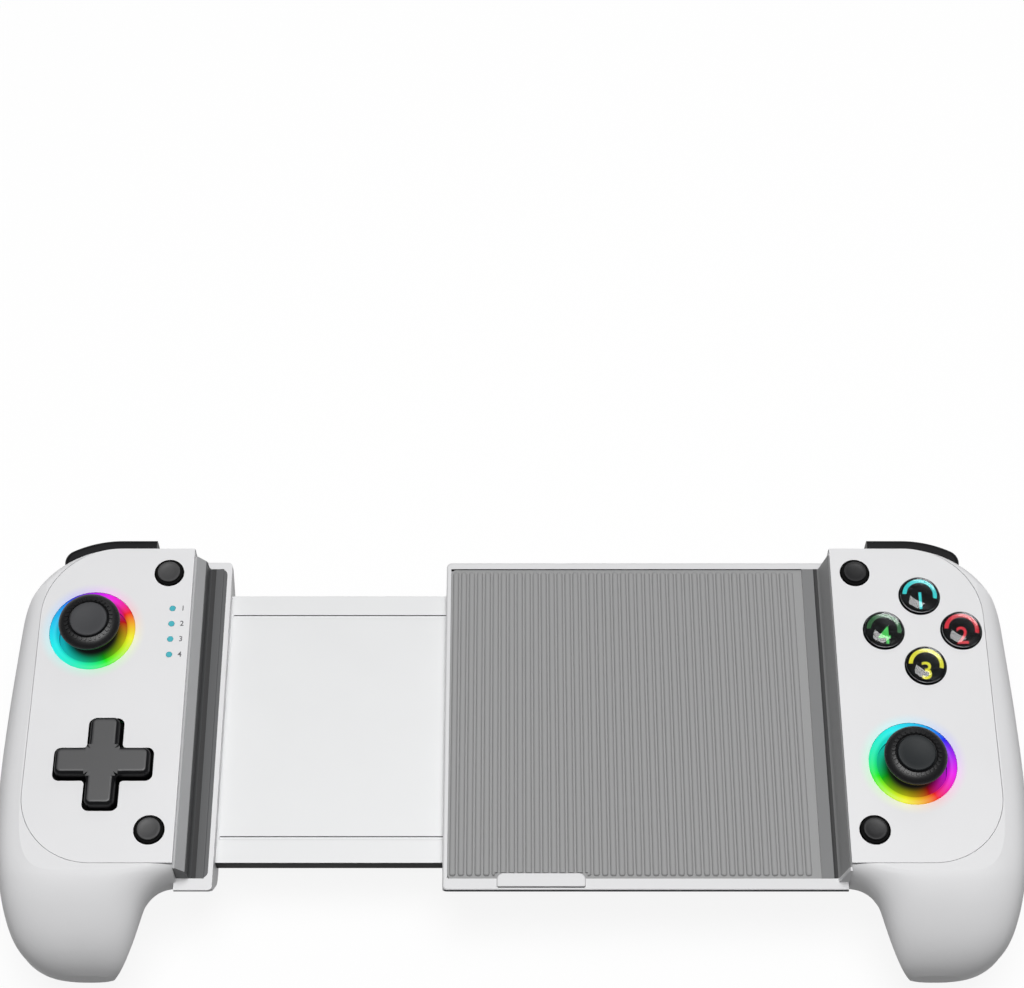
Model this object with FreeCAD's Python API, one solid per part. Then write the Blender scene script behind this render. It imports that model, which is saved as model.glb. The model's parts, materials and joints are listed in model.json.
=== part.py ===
import FreeCAD, Part
import math
import os
from FreeCAD import Vector

# Telescopic phone game controller, lying on its back.
# Each handle unit is drawn in its own frame: x runs outward from the bay wall, y away from
# the player from the middle of the faceplate, z up from the top of the faceplate.
# The right unit and the phone tray are drawn as they stand. The left unit is the mirror image.

# Whole controller, in millimetres
BAY_WIDTH = 154.2          # between the two faceplates, at the extension drawn
STANCE_DEPTH = 33.0        # from the faceplates down to the surface the controller lies on

# Handle shell
WALL = 2.0
SHELL_TOP = 40.7           # flat upper wall
CORNER_RADIUS = 22.0       # round of the upper outer corner, in plan
CORNER_X = 18.4            # centre of that round, which the bumper and trigger share
TOP_EDGE_ROUND = 1.4
SECTION_POINTS = 20
BELLY_FULLNESS = 2.5       # 2 is an ellipse, and more is squarer
RELIEF_CORNER = (6.0, 6.0)  # x and radius of the concave corner between tray and handle
RELIEF_SLOPE = 0.18        # how far the handle's inner side leans outward in plan
RELIEF_FLARE = 0.35        # how far that side leans outward per unit of depth

# Faceplate
FACE_HEIGHT = 80.8
FACE_WIDTH = 35.8
FACE_THICKNESS = 1.8
FACE_UPPER_CORNER = 18.0
FACE_LOWER_CORNER = 17.0
FACE_INNER_CORNER = 0.8
FACE_GAP = 0.1
FACE_SEAT = 1.2            # ledge under the plate's edge
FACE_SEAT_WIDTH = 2.0

# Phone bay, tray and slide
BAY_DEPTH = 7.5            # faceplate down to the pad the phone lies on
PAD_THICKNESS = 1.2
TRAY_LENGTH = 93.1
TRAY_TOP = 40.5
TRAY_BOTTOM = -44.2
TRAY_DEPTH = 17.5          # faceplate down to the tray's rear face
TRAY_WALL = 1.8
BACK_COVER = 2.0
TRAY_LIP = 1.0             # upright edge below the rim, before the side wall leans in
TRAY_LEAN = 30.0           # degrees that the tray's long side walls lean in toward the rear
CLIP_LENGTH = 8.0          # snap hooks that hold the rear cover
CLIP_THICKNESS = 1.1
CLIP_TOP = 11.6
CLIP_HOOK = 1.1
CLIP_INSET = 14.0
PAD_TOP = 38.7
PAD_BOTTOM = -41.4
RIM = 1.1
CHEEK_CORNER = 1.7
RIB_PITCH = 1.95
RIB_GROOVE = 0.75
RIB_DEPTH = 0.5
RIB_MARGIN = 1.3
TAB_START = 12.5           # lift tab on the tray's lower rim, from the tray's free end
TAB_LENGTH = 20.4
TAB_RISE = 0.6
LEDGE_WIDTH = 8.4          # the left unit's short ledge that faces the tray
PLATE_TOP = 10.8           # faceplate down to the slide plate
PLATE_THICKNESS = 3.5
PLATE_UPPER = 32.95
PLATE_LOWER = -36.4
PLATE_LENGTH = 90.0        # from the ledge's rim to the plate's hidden end
PLATE_ROOT = -0.3          # the plate's fixed end, inside the left unit's ledge
PLATE_GROOVE_INSET = 5.6
SLIDE_GAP = 0.25
RAIL_WIDTH = 1.3

# Thumbsticks
STICK_PIVOT = 9.0          # faceplate down to the crossing of the two tilt axes
STICK_DOME_RADIUS = 9.8
STICK_DOME_WALL = 0.5
STICK_CAP_RADIUS = 7.3
STICK_CAP_TOP = 6.5
STICK_CAP_UNDER = 3.6
STICK_NECK_RADIUS = 3.6
STICK_DISC_RADIUS = 4.7
STICK_SHAFT_RADIUS = 1.4
STICK_BORE_GAP = 0.08
STICK_BOX = 12.0
STICK_BOX_TOP = 6.9
STICK_BOX_FLOOR = 14.2
GIMBAL_RING = 9.4
GIMBAL_RING_WIDTH = 1.6
GIMBAL_THICKNESS = 2.0
GIMBAL_PIN_RADIUS = 0.9
GIMBAL_HUB = 5.0
LIGHT_RING_RADIUS = 10.2
LIGHT_RING_BORE = 8.3
LIGHT_RING_PROUD = 0.2
LIGHT_RING_FLANGE = 11.6
STICK_UPPER = (23.1, 18.2)
STICK_LOWER = (15.8, -16.1)

# Buttons
BUTTON_FIT = 0.2
FLANGE_TOP = 2.0
FLANGE_THICKNESS = 1.0
PLUNGER_FOOT = 4.2
SMALL_BUTTON_RADIUS = 3.3
SMALL_BUTTON_FLANGE = 3.7
SMALL_BUTTON_PROUD = 0.9
SMALL_BUTTON_X = 5.8
SMALL_BUTTON_UPPER = 33.7
SMALL_BUTTON_LOWER = -32.5
ACTION_RADIUS = 4.7
ACTION_PROUD = 2.0
ACTION_EDGE = 0.9
ACTION_CENTRE = (20.9, 18.1)
ACTION_SPREAD = 9.25
DPAD_CENTRE = (17.6, -16.3)
DPAD_SPAN = 22.0
DPAD_ARM = 7.6
DPAD_PROUD = 2.6
DPAD_FIT = 0.45
DPAD_CORNER = 1.2
DPAD_FLANGE_RADIUS = 11.6
DPAD_FLANGE_TOP = 3.0
DPAD_BALL_RADIUS = 1.3
DPAD_BALL_DEPTH = 5.4
LAMP_X = 4.35
LAMP_TOP = 24.1
LAMP_PITCH = 4.08
LAMP_COUNT = 4
LAMP_RADIUS = 0.75

# Boards and what they carry
BOARD_TOP = 8.2
BOARD_THICKNESS = 1.2
BOARD_MARGIN = 3.4
MEMBRANE_THICKNESS = 0.8
DOME_RADIUS = 2.6
SCREW_RADIUS = 1.0
SCREW_HEAD_RADIUS = 1.9
SCREW_HEAD_HEIGHT = 1.4
SCREW_POST_RADIUS = 2.3
SCREW_POST_END = 14.0
SCREW_SEAT = 17.5
FACE_SCREWS = [(5.4, 3.0), (30.4, 1.0), (18.0, -34.9)]
SCREW_SHOULDER = 0.9       # the wider part of a post, that the board stops against
SCREW_BOSS_WALL = 1.0
BATTERY_SIZE = (17.4, 29.0, 7.0)
BATTERY_PLACE = (9.2, -6.0)
BATTERY_BOTTOM = 25.4
SOCKET_WIDTH = 8.94
SOCKET_HEIGHT = 3.26
SOCKET_DEPTH = 7.3
SOCKET_X = 3.4
SOCKET_DROP = 22.0

# Bumpers and triggers
BUMPER_TOP = 3.2
BUMPER_BOTTOM = 10.9
BUMPER_PROUD = 4.0
BUMPER_START = 9.9
BUMPER_END_ANGLE = 54.0
BUMPER_THICKNESS = 9.3
BUMPER_GAP = 0.35
BUMPER_SWING_GAP = 0.9     # at the free end, which swings a little sideways as it goes in
BUMPER_PIVOT_RADIUS = 17.3
BUMPER_PIVOT_ANGLE = 45.5
BUMPER_BOSS = 2.2
PIN_RADIUS = 1.0
PIN_FIT = 0.05
TRIGGER_TOP = 11.6
TRIGGER_PIVOT = (32.6, 14.6)
TRIGGER_START = 10.6
TRIGGER_WIDTH = 18.2
TRIGGER_GAP = 0.4
TRIGGER_REACH = 28.0       # plan radius of the finger face about the corner's centre
TRIGGER_TIP = 46.7
WELL_DEPTH = 6.2           # from the shell's upper wall back to the rear of the trigger's room
WELL_BACK_WALL = 1.6
WELL_INNER_WALL = 2.0
WELL_OUTER_WALL = 3.6

# Handle form, one row for each cross-section from the upper wall to the handle's end:
# y, inner x, outer x, crown z, z of the widest place, belly z, fullness of the crown
HANDLE_SECTIONS = [
    (48.0, -8.2, 39.4, 0.6, -8.0, -26.0, 5.0),
    (36.0, -8.2, 40.0, 0.6, -8.0, -30.4, 5.0),
    (24.0, -8.2, 40.4, 0.6, -8.0, -33.4, 5.0),
    (10.0, -8.2, 41.0, 0.6, -8.0, -31.8, 5.0),
    (-4.0, -8.2, 41.5, 0.6, -8.0, -30.4, 5.0),
    (-18.0, -8.2, 41.8, 0.6, -8.5, -31.0, 5.0),
    (-30.0, -8.2, 41.4, 0.6, -9.0, -33.5, 5.0),
    (-37.0, -6.6, 40.9, 0.5, -9.6, -33.8, 4.8),
    (-41.0, -2.2, 40.4, 0.2, -10.3, -33.6, 4.5),
    (-44.0, 3.2, 39.9, -0.5, -11.0, -33.2, 4.2),
    (-47.5, 6.3, 39.2, -1.8, -12.0, -32.2, 3.9),
    (-51.5, 7.7, 38.0, -3.8, -13.2, -30.4, 3.6),
    (-55.5, 8.9, 36.1, -6.4, -14.6, -28.0, 3.3),
    (-58.8, 10.4, 33.0, -9.6, -16.2, -25.4, 3.0),
    (-60.8, 12.2, 29.2, -13.0, -17.6, -22.8, 2.8),
    (-61.7, 14.4, 25.4, -15.8, -18.2, -20.8, 2.6),
]
MIDDLE_SHIFT = -(HANDLE_SECTIONS[-1][0] + TRIGGER_TIP) / 2

os.makedirs("parts", exist_ok=True)


def block(x0, x1, y0, y1, z0, z1):
    """Return a box between two corners."""
    return Part.makeBox(x1 - x0, y1 - y0, z1 - z0, Vector(x0, y0, z0))


def rod(x, y, z0, z1, radius):
    """Return an upright cylinder."""
    return Part.makeCylinder(radius, z1 - z0, Vector(x, y, z0))


def cross_rod(x0, x1, y, z, radius):
    """Return a cylinder that lies along x."""
    return Part.makeCylinder(radius, x1 - x0, Vector(x0, y, z), Vector(1, 0, 0))


def deep_rod(y0, y1, x, z, radius):
    """Return a cylinder that lies along y."""
    return Part.makeCylinder(radius, y1 - y0, Vector(x, y0, z), Vector(0, 1, 0))


def rounded_outline(corners):
    """Return a closed flat wire through corner points (x, y, radius), each one rounded."""
    ends = []
    arcs = []
    for index, (x, y, radius) in enumerate(corners):
        point = Vector(x, y, 0)
        before = Vector(corners[index - 1][0], corners[index - 1][1], 0) - point
        after_corner = corners[(index + 1) % len(corners)]
        after = Vector(after_corner[0], after_corner[1], 0) - point
        before.normalize()
        after.normalize()
        half_turn = before.getAngle(after) / 2
        reach = radius / math.tan(half_turn)
        inward = (before + after).normalize()
        middle = point + inward * (radius / math.sin(half_turn) - radius)
        start = point + before * reach
        end = point + after * reach
        ends.append((start, end))
        arcs.append(Part.Arc(start, middle, end).toShape() if radius > 0 else None)
    edges = []
    for index, (start, end) in enumerate(ends):
        if arcs[index]:
            edges.append(arcs[index])
        following = ends[(index + 1) % len(ends)][0]
        if end.distanceToPoint(following) > 1e-6:
            edges.append(Part.LineSegment(end, following).toShape())
    return Part.Wire(edges)


def prism(wire, z0, z1):
    """Return the solid that a flat wire sweeps between two heights."""
    solid = Part.Face(wire).extrude(Vector(0, 0, z1 - z0))
    solid.translate(Vector(0, 0, z0))
    return solid


def revolved(points, x, y):
    """Return the solid that a closed outline of (radius, z) points turns about an upright axis."""
    corners = [Vector(x + radius, y, z) for radius, z in points]
    wire = Part.makePolygon(corners + corners[:1])
    return Part.Face(wire).revolve(Vector(x, y, 0), Vector(0, 0, 1), 360)


def edges_where(shape, test):
    """Return the edges of a shape whose bounding box passes a test."""
    return [edge for edge in shape.Edges if test(edge.BoundBox)]


def superellipse_section(y, inner, outer, crown, widest, belly, crown_fullness):
    """Return one closed cross-section of the handle form, square to y."""
    middle = (inner + outer) / 2
    half = (outer - inner) / 2
    points = []
    for index in range(SECTION_POINTS):
        turn = 2 * math.pi * index / SECTION_POINTS
        across = math.cos(turn)
        up = math.sin(turn)
        fullness = crown_fullness if up > 0 else BELLY_FULLNESS
        rise = crown - widest if up > 0 else widest - belly
        x = middle + half * math.copysign(abs(across) ** (2 / fullness), across)
        z = widest + rise * math.copysign(abs(up) ** (2 / fullness), up)
        points.append(Vector(x, y, z))
    curve = Part.BSplineCurve()
    curve.interpolate(points, True)
    return Part.Wire(curve.toShape())


def plan_limit(inset):
    """Return the upright form that gives the shell its flat upper wall and round outer corner."""
    top = SHELL_TOP - inset
    corner = CORNER_RADIUS - inset
    side = CORNER_X + corner
    flare = 0.063
    outline = rounded_outline([
        (-40.0, -80.0, 0.0),
        (side + flare * 100.0, -80.0, 0.0),
        (side - flare * corner, top, corner),
        (-40.0, top, 0.0),
    ])
    solid = prism(outline, -60.0, -inset)
    if inset > 0:
        return solid
    rim = edges_where(solid, lambda box: box.ZMin > -0.01 and box.YMin > top - corner - 1.0)
    return solid.makeFillet(TOP_EDGE_ROUND, rim)


def hand_relief(inset):
    """Return what is taken from the handle's inner side, under the tray's level edge."""
    corner_x, radius = RELIEF_CORNER
    foot = 50.0
    outline = rounded_outline([
        (-60.0, TRAY_BOTTOM - foot, 0.0),
        (corner_x + RELIEF_SLOPE * foot + inset, TRAY_BOTTOM - foot, 0.0),
        (corner_x + inset, TRAY_BOTTOM + inset, radius),
        (-60.0, TRAY_BOTTOM + inset, 0.0),
    ])
    start = -BAY_DEPTH - TRAY_LIP
    drop = STANCE_DEPTH + start
    outline.translate(Vector(0, 0, start))
    lean = Vector(RELIEF_FLARE * drop, math.tan(math.radians(TRAY_LEAN)) * drop, -drop)
    return Part.Face(outline).extrude(lean)


def handle_form(inset):
    """Return the handle unit's outer form, or the same form drawn in by a wall thickness."""
    end = HANDLE_SECTIONS[-1][0]
    wires = []
    for y, inner, outer, crown, widest, belly, fullness in HANDLE_SECTIONS:
        pulled = y * (1 + inset / end)
        wires.append(superellipse_section(pulled, inner + inset, outer - inset, crown - inset,
                                          widest, belly + inset, fullness))
    form = Part.makeLoft(wires, True, False)
    form = form.common(plan_limit(inset)).cut(hand_relief(inset))
    floor = block(-40, 80, -90, 60, -80, -STANCE_DEPTH + inset)
    bay = block(-60, inset, -30, 60, -TRAY_DEPTH - inset, 10)
    corner = tray_section(-inset).common(block(-60, inset, -90, -30, -40, 10))
    return form.cut([floor, bay, corner])


def tray_side(inset):
    """Return the lower half of the tray's section: lip, leaning wall and round rear edge."""
    lean = math.radians(TRAY_LEAN)
    turn_y = TRAY_BOTTOM + (TRAY_DEPTH - BACK_COVER - BAY_DEPTH - TRAY_LIP) * math.tan(lean)
    radius = BACK_COVER / (1 - math.sin(lean))
    centre_y = turn_y + radius * math.cos(lean)
    centre_z = -TRAY_DEPTH + radius
    round_points = [(centre_y - (radius - inset) * math.cos(angle),
                     centre_z - (radius - inset) * math.sin(angle))
                    for angle in (lean, (lean + math.pi / 2) / 2, math.pi / 2)]
    edge_y = TRAY_BOTTOM + inset
    turn = round_points[0]
    edge_z = turn[1] + (turn[0] - edge_y) / math.tan(lean)
    return (edge_y, edge_z), round_points


def tray_section(inset):
    """Return the long bar that bounds the tray in section, drawn in by an inset."""
    edge, (turn, halfway, end) = tray_side(inset)

    def flip(point):
        return TRAY_TOP + TRAY_BOTTOM - point[0], point[1]

    top = (edge[0], 12.0)
    outline = yz_outline([
        [top, edge],
        [edge, turn],
        [turn, halfway, end],
        [end, flip(end)],
        [flip(end), flip(halfway), flip(turn)],
        [flip(turn), flip(edge)],
        [flip(edge), flip(top)],
        [flip(top), top],
    ], -120.0)
    return Part.Face(outline).extrude(Vector(150, 0, 0))


def face_outline(inset):
    """Return the faceplate's outline, drawn in or out by an inset."""
    half = FACE_HEIGHT / 2 - inset
    outer = FACE_WIDTH - inset
    return rounded_outline([
        (inset, -half, FACE_INNER_CORNER),
        (outer, -half, FACE_LOWER_CORNER - inset),
        (outer, half, FACE_UPPER_CORNER - inset),
        (inset, half, FACE_INNER_CORNER),
    ])


def corner_arc_form(radius, start_x, end_angle, z0, z1):
    """Return a solid sector that follows the upper edge and outer corner out to a radius."""
    centre_y = SHELL_TOP - CORNER_RADIUS
    end = math.radians(end_angle)
    middle = math.radians((90 + end_angle) / 2)
    centre = Vector(CORNER_X, centre_y, 0)
    crest = centre + Vector(0, radius, 0)
    tip = centre + Vector(math.cos(end), math.sin(end), 0) * radius
    half_way = centre + Vector(math.cos(middle), math.sin(middle), 0) * radius
    low_start = Vector(start_x, centre_y, 0)
    high_start = Vector(start_x, centre_y + radius, 0)
    edges = [
        Part.LineSegment(centre, low_start).toShape(),
        Part.LineSegment(low_start, high_start).toShape(),
        Part.LineSegment(high_start, crest).toShape(),
        Part.Arc(crest, half_way, tip).toShape(),
        Part.LineSegment(tip, centre).toShape(),
    ]
    return prism(Part.Wire(edges), z0, z1)


def bumper_band(outer, inner, start_x, end_angle, z0, z1):
    """Return the band between two radii that follows the shell's upper edge and corner."""
    whole = corner_arc_form(outer, start_x, end_angle, z0, z1)
    core = corner_arc_form(inner, start_x - 30, -20, z0 - 1, z1 + 1)
    return whole.cut(core)


def bumper_pivot():
    """Return the place in plan of the bumper's pin, inside the shell's outer corner."""
    angle = math.radians(BUMPER_PIVOT_ANGLE)
    x = CORNER_X + BUMPER_PIVOT_RADIUS * math.cos(angle)
    y = SHELL_TOP - CORNER_RADIUS + BUMPER_PIVOT_RADIUS * math.sin(angle)
    return x, y


def bumper():
    """Return a shoulder bumper: a curved key, and the arm behind the wall that it turns on."""
    outer = CORNER_RADIUS + BUMPER_PROUD
    inner = outer - BUMPER_THICKNESS
    key = bumper_band(outer, inner, BUMPER_START, BUMPER_END_ANGLE, -BUMPER_BOTTOM, -BUMPER_TOP)
    corner = edges_where(key, lambda box: box.ZLength > 7 and box.XMin > CORNER_X
                         and box.YMin > SHELL_TOP - 4)
    key = key.makeFillet(BUMPER_PROUD - 0.6, corner)
    flat = edges_where(key, lambda box: box.ZLength < 0.01 and box.YMax > SHELL_TOP + 1)
    rims = [edge for edge in flat if edge.BoundBox.XLength > 4]
    key = key.makeFillet(1.2, rims)
    x, y = bumper_pivot()
    behind = CORNER_RADIUS - WALL - BUMPER_GAP
    arm = bumper_band(behind, inner, BUMPER_START, BUMPER_PIVOT_ANGLE, -BUMPER_BOTTOM, -BUMPER_TOP)
    boss = rod(x, y, -BUMPER_BOTTOM, -BUMPER_TOP, BUMPER_BOSS)
    bore = rod(x, y, -BUMPER_BOTTOM - 1, -BUMPER_TOP + 1, PIN_RADIUS + PIN_FIT)
    return key.fuse([arm, boss]).removeSplitter().cut(bore)


def bumper_opening():
    """Return what the shell loses so that the bumper can sit and swing in."""
    inner = CORNER_RADIUS + BUMPER_PROUD - BUMPER_THICKNESS - 2.5
    return bumper_band(CORNER_RADIUS + 10, inner, BUMPER_START - BUMPER_SWING_GAP,
                       BUMPER_END_ANGLE - 1.2, -BUMPER_BOTTOM - BUMPER_GAP,
                       -BUMPER_TOP + BUMPER_GAP)


def bumper_pin():
    """Return the upright pin that a bumper turns on."""
    x, y = bumper_pivot()
    return rod(x, y, -BUMPER_BOTTOM - 2.2, -BUMPER_TOP + 1.1, PIN_RADIUS)


def yz_outline(edges_points, x):
    """Return a closed wire in a plane square to x: two points draw a line, three draw an arc."""
    edges = []
    for points in edges_points:
        places = [Vector(x, y, z) for y, z in points]
        if len(places) == 2:
            edges.append(Part.LineSegment(*places).toShape())
        else:
            edges.append(Part.Arc(*places).toShape())
    return Part.Wire(edges)


def trigger():
    """Return a trigger with its hooked finger face, cut to the corner's round in plan."""
    pivot_y, pivot_z = TRIGGER_PIVOT
    top = -TRIGGER_TOP
    nose = SHELL_TOP + 2.4
    heel = pivot_y - 2.6
    outline = yz_outline([
        [(heel, top - 1.4), (heel + 0.4, top - 0.4), (heel + 1.4, top)],
        [(heel + 1.4, top), (nose - 1.2, top)],
        [(nose - 1.2, top), (nose - 0.3, top - 0.4), (nose, top - 1.4)],
        [(nose, top - 1.4), (nose + 0.5, top - 8.4), (TRIGGER_TIP, top - 15.8)],
        [(TRIGGER_TIP, top - 15.8), (TRIGGER_TIP - 0.5, top - 17.0), (TRIGGER_TIP - 1.8, top - 17.5)],
        [(TRIGGER_TIP - 1.8, top - 17.5), (SHELL_TOP - 0.6, top - 15.0), (SHELL_TOP - 3.2, top - 10.6)],
        [(SHELL_TOP - 3.2, top - 10.6), (pivot_y + 2.6, top - 7.4), (heel + 0.8, top - 6.2)],
        [(heel + 0.8, top - 6.2), (heel, top - 1.4)],
    ], TRIGGER_START)
    form = Part.Face(outline).extrude(Vector(TRIGGER_WIDTH, 0, 0))
    limit = corner_arc_form(TRIGGER_REACH, TRIGGER_START - 5, 0, -45, 0)
    form = form.common(limit)
    bore = cross_rod(TRIGGER_START - 1, TRIGGER_START + TRIGGER_WIDTH + 1, pivot_y, -pivot_z,
                     PIN_RADIUS + PIN_FIT)
    notch = cross_rod(TRIGGER_START - 1, TRIGGER_START + 4.2, pivot_y, -pivot_z, 2.4)
    slot = block(TRIGGER_START - 1, TRIGGER_START + 4.2, heel - 1, pivot_y - 0.6, -30, -10)
    return form.cut([bore, notch, slot])


def trigger_pin():
    """Return the pin that a trigger turns on, from one side wall of its well to the other."""
    pivot_y, pivot_z = TRIGGER_PIVOT
    return cross_rod(TRIGGER_START - 2.2, TRIGGER_START + TRIGGER_WIDTH + 2.2, pivot_y,
                     -pivot_z, PIN_RADIUS)


def trigger_spring():
    """Return the trigger's return spring: a close-wound torsion coil with a leg on the well."""
    pivot_y, pivot_z = TRIGGER_PIVOT
    x0 = TRIGGER_START + 0.4
    x1 = TRIGGER_START + 3.8
    coil = cross_rod(x0, x1, pivot_y, -pivot_z, 2.0)
    bore = cross_rod(x0 - 1, x1 + 1, pivot_y, -pivot_z, 1.3)
    leg = Part.makeCylinder(0.35, 3.4, Vector(x0 + 0.5, pivot_y - 1.65, -pivot_z),
                            Vector(0, -0.25, -1))
    return coil.cut(bore).fuse(leg)


def well_outline(x, spread, top):
    """Return the section of the trigger's room, grown behind and below by a wall."""
    heel = TRIGGER_PIVOT[0] - 3.6 - spread
    back = SHELL_TOP - WELL_DEPTH - spread
    floor = -TRIGGER_TOP - 7.0 - spread
    return yz_outline([
        [(heel, top), (heel, floor)],
        [(heel, floor), (back - 1.9, floor - 1.2), (back, floor - 5.0)],
        [(back, floor - 5.0), (back, -60)],
        [(back, -60), (SHELL_TOP + 20, -60)],
        [(SHELL_TOP + 20, -60), (SHELL_TOP + 20, top)],
        [(SHELL_TOP + 20, top), (heel, top)],
    ], x)


def trigger_opening():
    """Return the well that the trigger hangs and swings in."""
    outline = well_outline(TRIGGER_START - TRIGGER_GAP, 0.0, -TRIGGER_TOP + TRIGGER_GAP)
    return Part.Face(outline).extrude(Vector(TRIGGER_WIDTH + 2 * TRIGGER_GAP, 0, 0))


def trigger_well():
    """Return the walls that close the shell off round the trigger and hold both pins."""
    start = TRIGGER_START - TRIGGER_GAP - WELL_INNER_WALL
    width = TRIGGER_WIDTH + 2 * TRIGGER_GAP + WELL_INNER_WALL + WELL_OUTER_WALL
    outline = well_outline(start, WELL_BACK_WALL, -BUMPER_BOTTOM - BUMPER_GAP)
    return Part.Face(outline).extrude(Vector(width, 0, 0))


def pin_lug():
    """Return the lug under the faceplate that holds the upper end of the bumper's pin."""
    x, y = bumper_pivot()
    return rod(x, y, -BUMPER_TOP + BUMPER_GAP, -FACE_THICKNESS, BUMPER_BOSS + 0.4)


def screw_boss(x, y):
    """Return a tube from the shell's rear wall up to the board, round a faceplate post."""
    tube = rod(x, y, -STANCE_DEPTH, -BOARD_TOP - BOARD_THICKNESS,
               SCREW_POST_RADIUS + 0.1 + SCREW_BOSS_WALL)
    return tube.cut(rod(x, y, -SCREW_POST_END - 0.1, 0, SCREW_POST_RADIUS + 0.1))


def screw_bore(x, y):
    """Return the recess and clearance hole that a faceplate screw passes through."""
    recess = rod(x, y, -STANCE_DEPTH - 5, -SCREW_SEAT, SCREW_HEAD_RADIUS + 0.35)
    hole = rod(x, y, -SCREW_SEAT - 1, -SCREW_POST_END, SCREW_RADIUS + 0.2)
    return recess.fuse(hole)


def screw(x, y, seat, tip, head_radius):
    """Return a pan head screw that drives upward from its seat to its tip."""
    head = rod(x, y, seat - SCREW_HEAD_HEIGHT, seat, head_radius)
    shank = rod(x, y, seat, tip, SCREW_RADIUS)
    socket = rod(x, y, seat - SCREW_HEAD_HEIGHT, seat - SCREW_HEAD_HEIGHT + 0.7, 0.7)
    return head.fuse(shank).cut(socket)


def face_screws():
    """Return the screws that hold a faceplate down to its shell."""
    return Part.makeCompound([
        screw(x, y, -SCREW_SEAT, -SCREW_POST_END + 6, SCREW_HEAD_RADIUS) for x, y in FACE_SCREWS])


def stick_posts(place):
    """Return the posts on the shell's rear wall that a stick's small board stands on."""
    x, y = place
    reach = STICK_BOX / 2
    top = -STICK_BOX_FLOOR - BOARD_THICKNESS
    return [rod(x + dx, y + dy, -STANCE_DEPTH, top, 1.8)
            for dx in (-reach, reach) for dy in (-reach, reach)]


def shell_walls(outer):
    """Return the walls that both shells share: hollow, open at the faceplate, bumper and trigger."""
    roof = block(-60, 90, -90, 60, -FACE_THICKNESS - FACE_SEAT, 10)
    hollow = handle_form(WALL).cut(roof)
    inside = [screw_boss(x, y) for x, y in FACE_SCREWS] + [trigger_well()]
    walls = outer.cut(hollow).fuse([piece.common(outer) for piece in inside])
    seat = prism(face_outline(-FACE_GAP), -FACE_THICKNESS, 10)
    mouth = prism(face_outline(FACE_SEAT_WIDTH), -FACE_THICKNESS - FACE_SEAT - 1, 10)
    cuts = [seat, mouth.cut(pin_lug()), bumper_opening(), trigger_opening()]
    cuts += [screw_bore(x, y) for x, y in FACE_SCREWS]
    return walls.cut(cuts).fuse(pin_lug()).cut([bumper_pin(), trigger_pin()])


def shell(walls, outer, stick_place, inner_ribs, notches):
    """Return one unit's shell: the shared walls, its own stick posts, ribs and notches."""
    inside = stick_posts(stick_place) + inner_ribs
    return walls.fuse([piece.common(outer) for piece in inside]).cut(notches)


def plus_outline(centre, span, arm, corner):
    """Return the outline of a plus sign with rounded corners."""
    x, y = centre
    reach = span / 2
    half = arm / 2
    inside = corner * 0.5
    return rounded_outline([
        (x - half, y - reach, corner),
        (x + half, y - reach, corner),
        (x + half, y - half, inside),
        (x + reach, y - half, corner),
        (x + reach, y + half, corner),
        (x + half, y + half, inside),
        (x + half, y + reach, corner),
        (x - half, y + reach, corner),
        (x - half, y + half, inside),
        (x - reach, y + half, corner),
        (x - reach, y - half, corner),
        (x - half, y - half, inside),
    ])


def faceplate(holes):
    """Return a faceplate with its screw posts, less the holes of its own unit."""
    plate = prism(face_outline(0.0), -FACE_THICKNESS, 0)
    edge = edges_where(plate, lambda box: box.ZMin > -0.01)
    plate = plate.makeFillet(0.3, edge)
    posts = [rod(x, y, -SCREW_POST_END, -FACE_THICKNESS, SCREW_POST_RADIUS) for x, y in FACE_SCREWS]
    posts += [rod(x, y, -BOARD_TOP, -FACE_THICKNESS, SCREW_POST_RADIUS + SCREW_SHOULDER)
              for x, y in FACE_SCREWS]
    pilots = [rod(x, y, -SCREW_POST_END - 1, -SCREW_POST_END + 6, SCREW_RADIUS)
              for x, y in FACE_SCREWS]
    return plate.fuse(posts).cut(holes + pilots)


def face_hole(x, y, radius):
    """Return a round hole through the faceplate."""
    return rod(x, y, -FACE_THICKNESS - 1, 1, radius)


def stick_hole(place):
    """Return the faceplate's opening for a light ring."""
    return face_hole(place[0], place[1], LIGHT_RING_RADIUS + 0.05)


def small_button(x, y):
    """Return a round push button with a flange under the faceplate."""
    cap = rod(x, y, -FLANGE_TOP - FLANGE_THICKNESS, SMALL_BUTTON_PROUD, SMALL_BUTTON_RADIUS)
    crown = edges_where(cap, lambda box: box.ZMin > 0)
    cap = cap.makeFillet(0.4, crown)
    flange = rod(x, y, -FLANGE_TOP - FLANGE_THICKNESS, -FLANGE_TOP, SMALL_BUTTON_FLANGE)
    foot = rod(x, y, -PLUNGER_FOOT, -FLANGE_TOP, 1.6)
    return cap.fuse([flange, foot])


def action_places():
    """Return the four action buttons' centres, by name."""
    x, y = ACTION_CENTRE
    return {
        "action_button_top": (x, y + ACTION_SPREAD),
        "action_button_right": (x + ACTION_SPREAD, y),
        "action_button_bottom": (x, y - ACTION_SPREAD),
        "action_button_left": (x - ACTION_SPREAD, y),
    }


def action_button(x, y):
    """Return a domed action button with a flange under the faceplate."""
    rise = ACTION_PROUD - ACTION_EDGE
    sphere_radius = (ACTION_RADIUS ** 2 + rise ** 2) / (2 * rise)
    body = rod(x, y, -FLANGE_TOP - FLANGE_THICKNESS, ACTION_PROUD, ACTION_RADIUS)
    ball = Part.makeSphere(sphere_radius, Vector(x, y, ACTION_PROUD - sphere_radius))
    body = body.common(ball)
    flange = rod(x, y, -FLANGE_TOP - FLANGE_THICKNESS, -FLANGE_TOP, ACTION_RADIUS + 0.8)
    foot = rod(x, y, -PLUNGER_FOOT, -FLANGE_TOP, 2.0)
    return body.fuse([flange, foot])


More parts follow.
